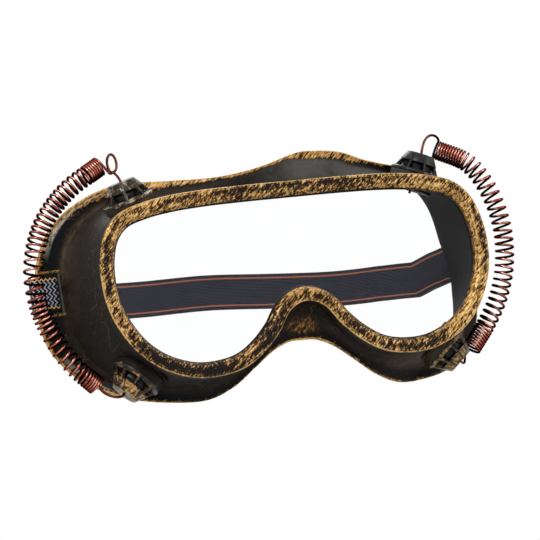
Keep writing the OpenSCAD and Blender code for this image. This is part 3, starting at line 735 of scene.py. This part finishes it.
    # three tones of gold over it all
    some = most(deep, bevel, side, lipGold, beadGold, nose * spread(noseCover, 0.49, 0.54))
    more = most(mid, lipGold * spread(lipCover, 0.495, 0.53), bevel * 0.5, outerLine, ridgeGoldAndHighlight, lipLine, beadGold,
                nose * spread(noseCover, 0.55, 0.6))
    best = most(high * 0.85, outerLine * 0.5, ridgeGoldAndHighlight * 0.95, lipLine * spread(brush, 0.45, 0.6) * 0.6,
                lipGold * spread(lipCover, 0.56, 0.61) * 0.7)
    gold = most(some, more, best)
    colour = coated(
        paint["skirt"], (inside, paint["inside"]), (onFace, paint["black"]), (paintedFilletHighlight * 0.8, paint["paintedFilletHighlight"]),
        (paintedTopHighlight * spread(cloud, 0.3, 0.6, 0.4, 1), paint["paintedTopHighlight"]), (seam * 0.95, paint["line"]), (paintedSlotHighlight, paint["slot"]),
        (worn, paint["scuff"]), (some, paint["goldDeep"]), (more, paint["gold"]), (best, paint["goldLight"]),
        (paintedPaleHighlight * 0.85, paint["paintedPaleHighlight"]))
    feed(bsdf, colour=colour, metal=gold * 0.45,
         rough=spread(grit, 0.3, 0.7, 0.42, 0.58, False) + inside * 0.1 + onFace * -0.06,
         normal=bumpOf(gold * 0.5 + fleck * 0.2 + grit * 0.5 + bead * 2.0, 0.5, 0.00012), specular=0.07)
    return mat


goggleBody.data.materials.append(bodyMaterial())
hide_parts("goggle_body")
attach(goggleBody, "frame")
print("body finished")


# vent caps
capLook = {
    "edge": 0.14, "sides": 96, "rib": 1.3, "windowUp": 0.5, "windowHigh": 3.0, "taper": 1.4, "rise": 0.5,
    "wireHole": 0.75,
    "dark": (0.0075, 0.006, 0.0046), "black": (0.0085, 0.0078, 0.008), "wash": (0.055, 0.034, 0.016),
    "paintedPaleHighlight": (0.62, 0.58, 0.5), "hollow": (0.0035, 0.0035, 0.0045),
    # by corner: share of gold, turn of the strokes and of the cap in degrees, more gold on the chamfer and on the
    # brim, how much pale streak and painted highlight, the gold's tone
    "UpperLeft": (0.4, 25, 22.5, 0.02, 0.03, 0.9, (0.2, 0.155, 0.1)),
    "LowerLeft": (0.44, -40, 4, 0.015, -0.03, 0.3, (0.36, 0.2, 0.06)),
    "LowerRight": (0.5, 35, 8, 0.015, 0.02, 0.3, (0.2, 0.115, 0.04)),
    "UpperRight": (0.1, 10, 0, 0, 0.07, 0.3, (0.16, 0.11, 0.06)),
}


def capMaterial(key, worn):     # worn is for the edges, where more paint is rubbed on
    mat, bsdf = newMaterial("cap" + key + ("Edge" if worn else ""))
    share, turn, _, upperMore, brimMore, paleHighlightShare, tone = capLook[key]
    under, washShare, wearAndPaintedHighlight = ("black", 0.25, 0.01) if key == "UpperRight" else ("dark", 0.9, 0.045)
    where, wrap = here(), layer("wrap")
    place = split(wrap)[1]
    hollow = spread(place, 0.95, 1.05)
    brim = spread(place, 0.14, 0.11)
    upper = zoneOf(place, 0.48, 0.86, 0.03)
    streak = noise(stretch(wrap, (26, 3, 1)), 1.0, 3, 0.6, 0.3)
    brush = strokes(where, turn, 1500, 300, 5.3 + share)
    cloud = noise(where, 190, 3, 0.6)
    grit = noise(where, 900, 4, 0.7, 0.8)
    both = (streak * 0.35 + brush * 0.25 + cloud * 0.25 + grit * 0.15 + brim * brimMore + upper * upperMore
            + (share - 0.5) * 0.2)
    if worn:
        both = both + wearAndPaintedHighlight
    gold = spread(both, 0.51, 0.545)
    # pale streaks: partly dust, partly a painted highlight, strongest on the upper left cap
    colour = coated(capLook[under], (spread(both, 0.44, 0.53) * washShare, capLook["wash"]), (gold, tone),
                    (spread(both, 0.555, 0.6) * paleHighlightShare, capLook["paintedPaleHighlight"]), (hollow, capLook["hollow"]))
    feed(bsdf, colour=colour, metal=gold * (1.0 - hollow) * 0.4, rough=spread(grit, 0.3, 0.7, 0.3, 0.45, False),
         normal=bumpOf(both * 1.2 + grit * 0.3, 0.3, 0.0001), specular=0.22)
    return mat


def windowCutters():
    low = vent["brim"] + capLook["windowUp"]
    half = math.pi / vent["windows"] - capLook["rib"] / (vent["across"] - capLook["taper"])
    faces = [(2, 3, 1, 0), (5, 7, 6, 4), (1, 5, 4, 0), (6, 7, 3, 2), (4, 6, 2, 0), (3, 7, 5, 1)]
    wedges = []
    for i in range(vent["windows"]):
        turn = Matrix.Rotation((i + 0.5) * 2 * math.pi / vent["windows"], 4, "Z")
        pts = [turn @ (Vector((r * math.cos(half), sgn * r * math.sin(half), z)) * mm)
               for r in (1.5, vent["across"]) for z in (low, low + capLook["windowHigh"]) for sgn in (-1, 1)]
        wedges.append(newMesh("wedge", pts, faces, [(0, 0.9)] * 24))
    return join("wedges", *wedges)


def makeCap(key):
    sideR, topR, barrelR = (vent["across"] - capLook["taper"]) / 2, vent["top"] / 2, vent["barrel"] / 2
    wall, high, brim, wireHole = vent["wall"], vent["high"] + capLook["rise"], vent["brim"], capLook["wireHole"]
    slope = (sideR - topR) / (high - brim)
    inR = sideR - wall * math.hypot(1, slope)
    boreR, foot = barrelR - vent["barrelWall"], -vent["seatIn"] - vent["barrelIn"] - vent["seat"]
    barrelTop = brim + (inR - barrelR - vent["airGap"]) / slope
    brimR, mouthR = vent["across"] / 2, boreR + 0.4
    ring = [(wireHole, high - wall), (inR - slope * (high - wall - brim), high - wall), (inR, brim), (mouthR, brim),
            (mouthR, 0), (brimR, 0), (brimR, brim), (sideR, brim), (topR, high), (wireHole, high)]
    cap = lathe("ventCap" + key, ring, capLook["sides"])
    marks = cap.data.uv_layers["wrap"].data
    for f in cap.data.polygons:         # the angle and the height, and 1.5 for what lies behind the windows
        hidden = f.index % len(ring) <= 3
        middle = math.atan2(f.center.y, f.center.x)
        for i, v in zip(f.loop_indices, f.vertices):
            p = cap.data.vertices[v].co
            turned = math.remainder(math.atan2(p.y, p.x) - middle, 2 * math.pi) + middle
            marks[i].uv = (turned / (2 * math.pi), 1.5 if hidden else p.z / mm / high * 0.8)
    cut(cap, windowCutters(), 12)
    roundEdges(cap, capLook["edge"], 30, 1, 12)
    cap.data.transform(Matrix.Rotation(math.radians(capLook[key][2]), 4, "Z"))
    tip = high - wall - 0.4
    tipR, flare = (inR - slope * (h - brim) - 0.2 for h in (tip, barrelTop))
    baffle = [(boreR, foot), (barrelR, foot), (barrelR, barrelTop), (flare, barrelTop), (tipR, tip), (wireHole, tip),
              (wireHole, tip - 0.5), (tipR - 0.4, tip - 0.5), (boreR, barrelTop - 0.3)]
    cap = join("ventCap" + key, cap, lathe("barrel", baffle, capLook["sides"], True, (0, 1.5)))
    cap.data.transform(ventMatrix(key) @ Matrix.Translation((0, 0, vent["seat"] * mm)))
    cap.data.materials.clear()
    for worn in (False, True):
        cap.data.materials.append(capMaterial(key, worn))
    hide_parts("vent_cap_" + ventNode[key])
    "cap_black" if key == "UpperRight" else "cap_gold"
    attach(cap, "frame")
    return cap


for key in ventNode:
    cap = makeCap(key)
    print("cap", key, len(cap.data.vertices), "points")


def grilleMaterial():
    mat, bsdf = newMaterial("mattBlack")
    grain = noise(here(), 900, 4, 0.65)
    feed(bsdf, colour=coated((0.016, 0.016, 0.018), (spread(grain, 0.35, 0.7), (0.034, 0.033, 0.036))),
         rough=spread(grain, 0.3, 0.7, 0.5, 0.66, False), normal=bumpOf(grain, 0.25, 0.0001), specular=0.35)
    return mat


def dress(node, mat):
    mesh = nodeOf[node].data
    mesh.materials.clear()
    mesh.materials.append(mat)


matt = grilleMaterial()
for key in ventNode:
    dress("vent_grille_" + ventNode[key], matt)


# copper coil springs
coil = {
    "wire": 1.0, "across": 7.85, "turns": {1: 44, -1: 48}, "start": {1: 0, -1: 90}, "perTurn": 30, "sides": 10,
    "depth": {1: (16.5, 13.6, 13, 14.2, 15.6, 16.8, 17.9, 19), -1: (11, 12.14, 13.29, 14.43, 15.57, 16.71, 17.86, 19)},
    # the coil's centre line, as shares of half the rim's size, and its depth in mm
    "route": {1: ((0.918, 1.285), (1.067, 1.076), (1.157, 0.718), (1.2, 0.31), (1.187, -0.099), (1.132, -0.445),
                  (1.048, -0.727), (0.95, -0.98)),
              -1: ((0.87, 1.408), (1.049, 1.169), (1.184, 0.831), (1.25, 0.408), (1.244, 0), (1.186, -0.38),
                   (1.107, -0.662), (1.009, -0.885))},
    # how open the curls lie, at shares of their number
    "pitch": {1: ((0, 0.37), (0.23, 0.37), (0.27, 0.9), (0.36, 1.1), (0.5, 1), (0.7, 0.95), (0.77, 0.95),
                  (0.82, 0.5), (0.85, 0.4), (1, 0.4)),
              -1: ((0, 0.4), (0.12, 0.4), (0.15, 0.9), (0.2, 1.05), (0.28, 0.8), (0.35, 1), (0.42, 0.88), (0.48, 1.15),
                   (0.53, 1.6), (0.57, 1.5), (0.61, 0.8), (0.69, 0.8), (0.74, 1.3), (0.82, 1.3), (0.87, 0.75),
                   (0.92, 0.45), (1, 0.4))},
    "nub": 1.2, "eye": (1.7, 3.4), "eyeShift": -1.53,
    "eyeFoot": (-2.4, 0.4, 3.4), "eyeLeave": (-1.8, 0, -1.2), "hookRise": (3.4, 0.3, 11), "hookPull": 5, "tailPull": 3,
}


def bridge(p, pd, q, qd, n):        # the points between p and q of a curve that leaves along pd and arrives along qd
    out = []
    for i in range(1, n):
        t = i / n
        a = 1 - t
        out.append(a ** 3 * p + 3 * a * a * t * (p + pd) + 3 * a * t * t * (q - qd) + t ** 3 * q)
    return out


def coilLine(side):
    route = [Vector((side * x * halfWide, deep, z * halfHigh))
             for (x, z), deep in zip(coil["route"][side], coil["depth"][side])]
    fine = [onPath(route, 7 * k / 400) for k in range(401)]
    long = lengths(fine)
    turns, start = coil["turns"][side], coil["start"][side]
    n = turns * coil["perTurn"]
    shares, opens = zip(*coil["pitch"][side])
    gone = np.concatenate([[0], np.cumsum(np.interp((np.arange(n) + 0.5) / n, shares, opens))])
    gone = gone / gone[-1] * long[-1]
    print("closest curls", round(float(np.diff(gone).min()) * coil["perTurn"], 2), "mm apart")
    r = (coil["across"] - coil["wire"]) / 2
    out, ways = [], []
    for i, u in enumerate(np.interp(gone, long, np.linspace(0, 7, 401))):
        t = (onPath(route, min(7, u + 0.02)) - onPath(route, max(0, u - 0.02))).normalized()
        b = t.cross(Vector((0, 1, 0))).normalized()
        a = math.radians(start + (360 * turns + 90 - start) * i / n)
        ways.append(math.cos(a) * b + side * math.sin(a) * b.cross(t))
        out.append(onPath(route, u) + r * ways[-1])
    return out, ways


def wireLine(side):
    curls, ways = coilLine(side)
    deep = -vent["seatIn"] - vent["grille"] - vent["barrelIn"] - coil["nub"]
    high = vent["seat"] + vent["high"] + coil["wire"]
    (top, _, _, topWay), (low, _, _, lowWay) = (ventFrame(up + sideWord[side]) for up in ("Upper", "Lower"))
    line = [top + topWay * h for h in (deep, 0, high)]
    if side < 0:
        foot = line[-1] + Vector(coil["eyeFoot"])
        line += bridge(line[-1], topWay * 1.2, foot, Vector((-1, 0, 0.1)) * 0.9, 6)
        w, h = coil["eye"]
        for i in range(41):
            t = i / 40
            a = 2 * math.pi * t
            line.append(foot + Vector((-w * math.sin(a), coil["eyeShift"] * t, h * (1 - math.cos(a)))))
    rise = Vector(coil["eyeLeave"] if side < 0 else coil["hookRise"])
    startWay, endWay = ((curls[i + 1] - curls[i]).normalized() for i in (0, -2))
    line += bridge(line[-1], rise, curls[0], startWay * coil["hookPull"], 22)
    # the straight wire is given a fixed way toward the front, for its painted highlight
    outward = [Vector((0, -0.6, 0))] * len(line) + ways
    line += curls
    line += bridge(curls[-1], endWay * coil["tailPull"], low + lowWay * high, -lowWay * coil["tailPull"], 16)
    line += [low + lowWay * h for h in (high, 0, deep)]
    return line, outward + [Vector((0, -0.6, 0))] * (len(line) - len(outward))


def copperMaterial():
    mat, bsdf = newMaterial("copperWire")
    drawn = noise(stretch(layer("wrap"), (0.35, 22, 1)), 1.0, 4, 0.6)
    tarnish = spread(noise(here(), 90, 4, 0.6) * 0.7 + drawn * 0.3, 0.4, 0.62)
    # painted highlight and shade: each curl is painted bright on its outer side, brightest where it faces the highlight
    # way, and near black elsewhere, with some real tarnish mixed in
    outer, towardPaintedHighlight, _ = split(layer("edge"))
    wearAndPaintedHighlight = outer * 0.65 + towardPaintedHighlight * 0.35 + tarnish * 0.2
    colour = coated((0.012, 0.0032, 0.003), (spread(wearAndPaintedHighlight, 0.25, 1.0), (0.24, 0.06, 0.04)),
                    (spread(wearAndPaintedHighlight, 0.94, 1.14), (0.8, 0.4, 0.3)))
    feed(bsdf, colour=colour, metal=1.0, rough=spread(drawn, 0.3, 0.7, 0.14, 0.24, False),
         normal=bumpOf(drawn, 0.12, 0.00005), tint=(0.1, 0.03, 0.02))
    return mat


copper = copperMaterial()
for side, word in sideWord.items():
    line, out = wireLine(side)
    spring = tube("coilSpring" + word, line, coil["wire"] / 2, coil["sides"], out)
    spring.data.materials.append(copper)
    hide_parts("coil_spring_" + word.lower())
    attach(spring, "frame")
    print("spring", word, len(spring.data.vertices), "points")


# lens
def lensMaterial():
    mat, bsdf = newMaterial("clearLens")
    where = here()
    haze = spread(noise(where, 60, 3, 0.5), 0.4, 0.8, 0.0, 0.012)
    hair = spread(strokes(where, 30, 1500, 50, 2.2), 0.72, 0.78)
    feed(bsdf, colour=(0.985, 0.99, 0.99), glass=1.0, ior=1.08, rough=haze + hair * 0.02)
    mix = made("MixShader", {0: made("LightPath", None, "Is Shadow Ray"), 1: Wire(bsdf.outputs[0]),
                             2: made("BsdfTransparent")})       # light passes straight through
    fill(mat.node_tree.nodes["Material Output"].inputs[0], mix)
    return mat


dress("lens", lensMaterial())
print("lens dressed")

# elastic strap
webbing = {
    "cloth": (0.012, 0.0125, 0.019), "clothLight": (0.042, 0.042, 0.056), "stripe": (0.43, 0.175, 0.10),
    "stripeDark": (0.17, 0.04, 0.018), "stripeAt": 5.75, "stripeHalf": 0.3, "cord": 0.62, "pick": 0.5,
    "chevronDark": (0.004, 0.004, 0.006), "chevron": (0.36, 0.37, 0.44), "zigzag": (0.62, 0.38, 0.15),
    "round": 0.42, "flap": 12, "seam": 12.6,
}
leave = Vector((-math.sin(math.radians(strap["turn"])), math.cos(math.radians(strap["turn"]))))
beside = Vector((leave.y, -leave.x))
tip = Vector((tipX, tipY))
foldStart = tip + Vector((0.4, 1.2))
foldEnd = foldStart + leave * strap["fold"]
swing = foldEnd + leave * (strap["wide"] / 2 + strap["swingGap"])
farY = strap["reach"] - strap["thick"] / 2
turnAt = swing + leave * 12
toBack = farY - turnAt.y
backShares = (0.87, 0.42), (0.68, 0.72), (0.42, 0.92), (0.18, 0.99), (0, 1)
strapHalf = [swing, swing + leave * 6, turnAt]
strapHalf += [Vector((turnAt.x * a, turnAt.y + toBack * b)) for a, b in backShares]
sideEnd = 3
bowShape = [0, 0.54, 0.8, 1, 0.67, 0.2, 0]


def ease(v):
    v = min(1, max(0, v))
    return v * v * (3 - 2 * v)


def kinkRise(p):
    far = (Vector((abs(p.x), p.y)) - swing).dot(leave)
    return float(np.interp(far, *zip(*strap["kink"]))) if p.x > 0 else 0.0


def strapHeight(p):
    x = p.x / swing.x
    share = ease(1.6 * (p.y - swing.y) / (strap["reach"] - swing.y))
    bow = share * strap["bow"] * onPath(bowShape, 3 + 3 * x)
    return (slotHigh[1] * (1 + x) + slotHigh[-1] * (1 - x)) / 2 + bow + kinkRise(p)


def band(name, rows):
    # rows are (place on the centre line, its normal in plan, height, length so far), all in mm
    ring = roundBox(strap["thick"] / 2, strap["wide"] / 2, webbing["round"], 4, 7)
    points = [((p.x + normal.x * a) * mm, (p.y + normal.y * a) * mm, (z + b) * mm)
              for p, normal, z, _ in rows for a, b in ring]
    faces, spots = barFaces(len(rows), len(ring))
    return newMesh(name, points, faces, [(rows[i][3], ring[j % len(ring)][1]) for i, j in spots], 50)


def roundedLine(line, radius, step=0.5):       # a line in plan with its corners rounded
    out = [line[0]]
    for a, p, b in zip(line, line[1:], line[2:]):
        s, e = (p.lerp(q, min(radius / (q - p).length, 0.45)) for q in (a, b))
        out += [rounding(s, p, e, k / 5) for k in range(6)]
    out.append(line[-1])
    dense = [out[0]]
    for a, b in zip(out, out[1:]):
        count = max(1, int((b - a).length / step))
        dense += [a.lerp(b, k / count) for k in range(1, count + 1)]
    return dense


def lineRows(line, side, heightOf, start=0.0):      # side -1 mirrors the line
    rows = []
    for i, (p, long) in enumerate(zip(line, lengths(line))):
        d, place = wayAt(line, i), Vector((side * p.x, p.y))
        rows.append((place, Vector((side * d.y, -d.x)), heightOf(place), start + long))
    return rows


def strapPlace(far):    # place on the strap's centre line, far mm past the swing point
    return swing + leave * far if far <= 0 else onPath(strapHalf, float(np.interp(far, pathLong, us)))


us = np.linspace(0, 7, 701)
pathLong = lengths([onPath(strapHalf, float(u)) for u in us])
sideStop = float(np.interp(sideEnd, us, pathLong))


def shifted(far, off):
    d = (strapPlace(far + 0.3) - strapPlace(far - 0.3)).normalized()
    return strapPlace(far) + Vector((d.y, -d.x)) * off


def strapAt(far):     # the strap lies beside its doubled end, then comes back to the middle
    return shifted(far, (strap["thick"] / 2 + 0.02) * (1 - ease((far - webbing["flap"]) / 7)))


def endLine():
    t, gap = strap["thick"], strap["gap"]
    front, back = tip.y - seal["thick"] - gap - t / 2, tip.y + gap + t / 2
    off = t / 2 + 0.02
    through = slotX - strap["slot"] / 2 + gap + 0.1 + t / 2
    doubled = -(strap["fold"] + strap["wide"] / 2 + strap["swingGap"])
    line = [shifted(webbing["flap"] + (doubled - webbing["flap"]) * k / 10, -off) for k in range(10)]
    line += [foldStart - beside * off + leave * 2, Vector((tip.x - 1.6, back + 0.4)), Vector((tip.x - 3.2, back)),
             Vector((through, back)), Vector((through, front)), Vector((tip.x + 0.5, front)),
             Vector((tip.x + gap + t / 2 + 0.2, tip.y - 0.4)), foldStart + beside * off + leave * 1.5]
    first = doubled + 4
    return roundedLine(line + [strapAt(first + (webbing["seam"] - first) * k / 14) for k in range(15)], 0.9)


def makeEnd(side):
    def heightOf(p):
        return slotHigh[side] + kinkRise(p) if p.y < swing.y else strapHeight(p)
    rows = lineRows(endLine(), side, heightOf)
    return band("strapEnd" + sideWord[side], rows), rows[-1][3]


def makeSide(side, start):
    line = [strapAt(webbing["seam"] + (sideStop - webbing["seam"]) * k / 60) for k in range(61)]
    rows = lineRows(line, side, strapHeight, start)
    return band("strapSide" + sideWord[side], rows), rows[-1][3]


def makeBack(start):
    half = [strapAt(sideStop + (pathLong[-1] - sideStop) * k / 70) for k in range(70)]
    line = half + [Vector((0, farY))] + [Vector((-p.x, p.y)) for p in reversed(half)]
    return band("strapBack", lineRows(line, -1, strapHeight, start))


def wave(value, period):
    return calc("SINE", value * (2 * math.pi / period)) * 0.5 + 0.5


def clothMaterial():
    mat, bsdf = newMaterial("elasticWebbing")
    wrap = layer("wrap")      # millimetres along and across
    along, across, _ = split(wrap)
    fuzz = noise(stretch(wrap, (3.5, 9, 1)), 1.0, 4, 0.7)
    cloud = noise(stretch(wrap, (0.12, 0.35, 1)), 1.0, 3, 0.5)
    picks = wave(along + calc("SINE", across * (math.pi / webbing["cord"])) * 0.12, webbing["pick"])
    weave = wave(across, webbing["cord"]) * 0.72 + picks * 0.28
    side, half = calc("ABSOLUTE", across), webbing["stripeHalf"]
    offset = calc("ABSOLUTE", side - webbing["stripeAt"]) + (picks - 0.5) * 0.16
    stripe = spread(offset, half - 0.08, half + 0.1, 1, 0)
    light = spread(weave * 0.5 + fuzz * 0.5 + cloud * 0.25, 0.42, 0.95)
    colour = coated(coated(webbing["cloth"], (light, webbing["clothLight"])),
                    (stripe, coated(webbing["stripeDark"], (picks, webbing["stripe"]))))
    # the folded end's front is sewn through: rows of grey chevrons between two gold zigzags
    sewn = zoneOf(along, sewnFrom, sewnTo, 0.1)
    chevron = wave(along + calc("PINGPONG", across, 1.2), 1.6)
    marks = spread(chevron, 0.62, 0.85) * spread(side, 4.9, 4.6)
    row = spread(calc("ABSOLUTE", side + calc("PINGPONG", along, 0.85) * 1.1 - 5.9), 0.2, 0.34, 1, 0)
    sewnLook = coated(webbing["chevronDark"], (marks, webbing["chevron"]), (row, webbing["zigzag"]))
    weave = coated(weave, (sewn, weave * 0.3 + marks + row))
    feed(bsdf, colour=coated(colour, (sewn, sewnLook)), rough=spread(fuzz, 0.3, 0.7, 0.7, 0.9, False),
         normal=bumpOf(weave + fuzz * 0.3, 0.6, 0.00018), specular=0.12, sheen=0.06, sheenRough=0.5)
    return mat


plan = lineRows(endLine(), 1, lambda p: 0)
front = [long for place, _, _, long in plan if place.y < tip.y - seal["thick"] - strap["gap"]]
sewnFrom, sewnTo = min(front), max(front) + 1.2
cloth = clothMaterial()


def dressStrap(piece, node):
    piece.data.materials.append(cloth)
    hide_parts(node)


for side, word in sideWord.items():
    end, reached = makeEnd(side)
    dressStrap(end, "strap_end_" + word.lower())
    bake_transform(end)
    sidePiece, reached = makeSide(side, reached)
    dressStrap(sidePiece, "strap_side_" + word.lower())
    a, b = (shifted(f, 0) for f in (webbing["seam"] + 0.5, sideStop - 0.3))
    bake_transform(sidePiece)
back = makeBack(reached)
dressStrap(back, "strap_back")
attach(back, "strap_loop")
print("strap built")


# thread
thread = {"half": 0.2, "pitch": 1.7, "swing": 0.55, "rows": (-4.8, 0, 4.8),
          "dark": (0.22, 0.10, 0.03), "light": (0.62, 0.38, 0.16)}


def threadMaterial():
    mat, bsdf = newMaterial("goldThread")
    wrap = layer("wrap")
    ply = made("TexWave", {"Vector": stretch(wrap, (2.4, 1.6, 1)), "Scale": 0.5, "Distortion": 0.6}, "Fac",
               bands_direction="DIAGONAL")
    fuzz = noise(stretch(wrap, (6, 8, 1)), 1.0, 3, 0.6)
    feed(bsdf, colour=coated(thread["dark"], ((ply + fuzz) * 0.55, thread["light"])), rough=0.7,
         normal=bumpOf(ply, 0.4, 0.00005), sheen=0.2)
    return mat


goldThread = threadMaterial()


def zigzag(name, placeOf):
    parts, pitch, long = [], thread["pitch"], strap["fold"] - 3
    for z in thread["rows"]:
        pts = [placeOf(s, z + dz) for i in range(int(long / pitch) + 1)
               for s, dz in ((i * pitch, -thread["swing"]), (i * pitch + pitch / 2, thread["swing"])) if s <= long]
        smooth = [a.lerp(b, k / 3) for a, b in zip(pts, pts[1:]) for k in range(3)] + pts[-1:]
        parts.append(tube("stitch", smooth, thread["half"], 6))
    piece = join(name, *parts)
    piece.data.materials.append(goldThread)
    return piece


for side, word in sideWord.items():
    outer = strap["thick"] + 0.065

    def onFlap(s, z):
        p = foldEnd - leave * (0.8 + s) + beside * outer
        p.x *= side
        return Vector((p.x, p.y, slotHigh[side] + z + kinkRise(p)))
    sewn = zigzag("strapStitching" + word, onFlap)
    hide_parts("strap_stitching_" + word.lower())
    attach(sewn, "frame")
print("thread laid")

# floor, backdrop and lights
studio = {
    "floor": -0.175, "floorSize": 12, "worldLight": 0.62,
    "lamps": [
        {"name": "keyLamp", "place": (-0.55, -0.75, 0.85), "size": (0.5, 0.35), "power": 9.5},
        {"name": "fillLamp", "place": (0.9, -0.7, 0.35), "size": (0.5, 0.7), "power": 4.0},
        {"name": "rimLamp", "place": (0.15, 0.75, 0.8), "size": (0.9, 0.3), "power": 5.0},
    ],
}


def makeFloor():
    s, z = studio["floorSize"] / 2, studio["floor"]
    floor = newMesh("floor", [(-s, -s, z), (s, -s, z), (s, s, z), (-s, s, z)], [(0, 1, 2, 3)],
                    [(0, 0), (1, 0), (1, 1), (0, 1)], 0)
    mat, bsdf = newMaterial("whiteFloor")
    feed(bsdf, colour=(0.86, 0.86, 0.86), rough=0.9, specular=0.1)
    floor.data.materials.append(mat)


def makeWorld():
    world = bpy.data.worlds.new("studio")
    scene.world = world
    world.use_nodes = True
    work["tree"] = world.node_tree
    ground, path = world.node_tree.nodes["Background"], put("LightPath").outputs
    seen = most(*(Wire(path["Is " + word + " Ray"]) for word in ("Camera", "Transmission", "Glossy")))
    fill(ground.inputs["Strength"], spread(seen, 0, 1, studio["worldLight"], 1, False))
    fill(ground.inputs["Color"], (1, 1, 1))


def makeLamps():
    aim = Vector((0, 0.02, 0))
    for lamp in studio["lamps"]:
        data = bpy.data.lights.new(lamp["name"], "AREA")
        data.shape, data.size, data.size_y = "RECTANGLE", *lamp["size"]
        data.energy = lamp["power"]
        obj = bpy.data.objects.new(lamp["name"], data)
        place = Vector(lamp["place"])
        obj.matrix_world = Matrix.Translation(place) @ (aim - place).to_track_quat("-Z", "Y").to_matrix().to_4x4()
        scene.collection.objects.link(obj)


makeFloor()
makeWorld()
makeLamps()
print("studio lit")
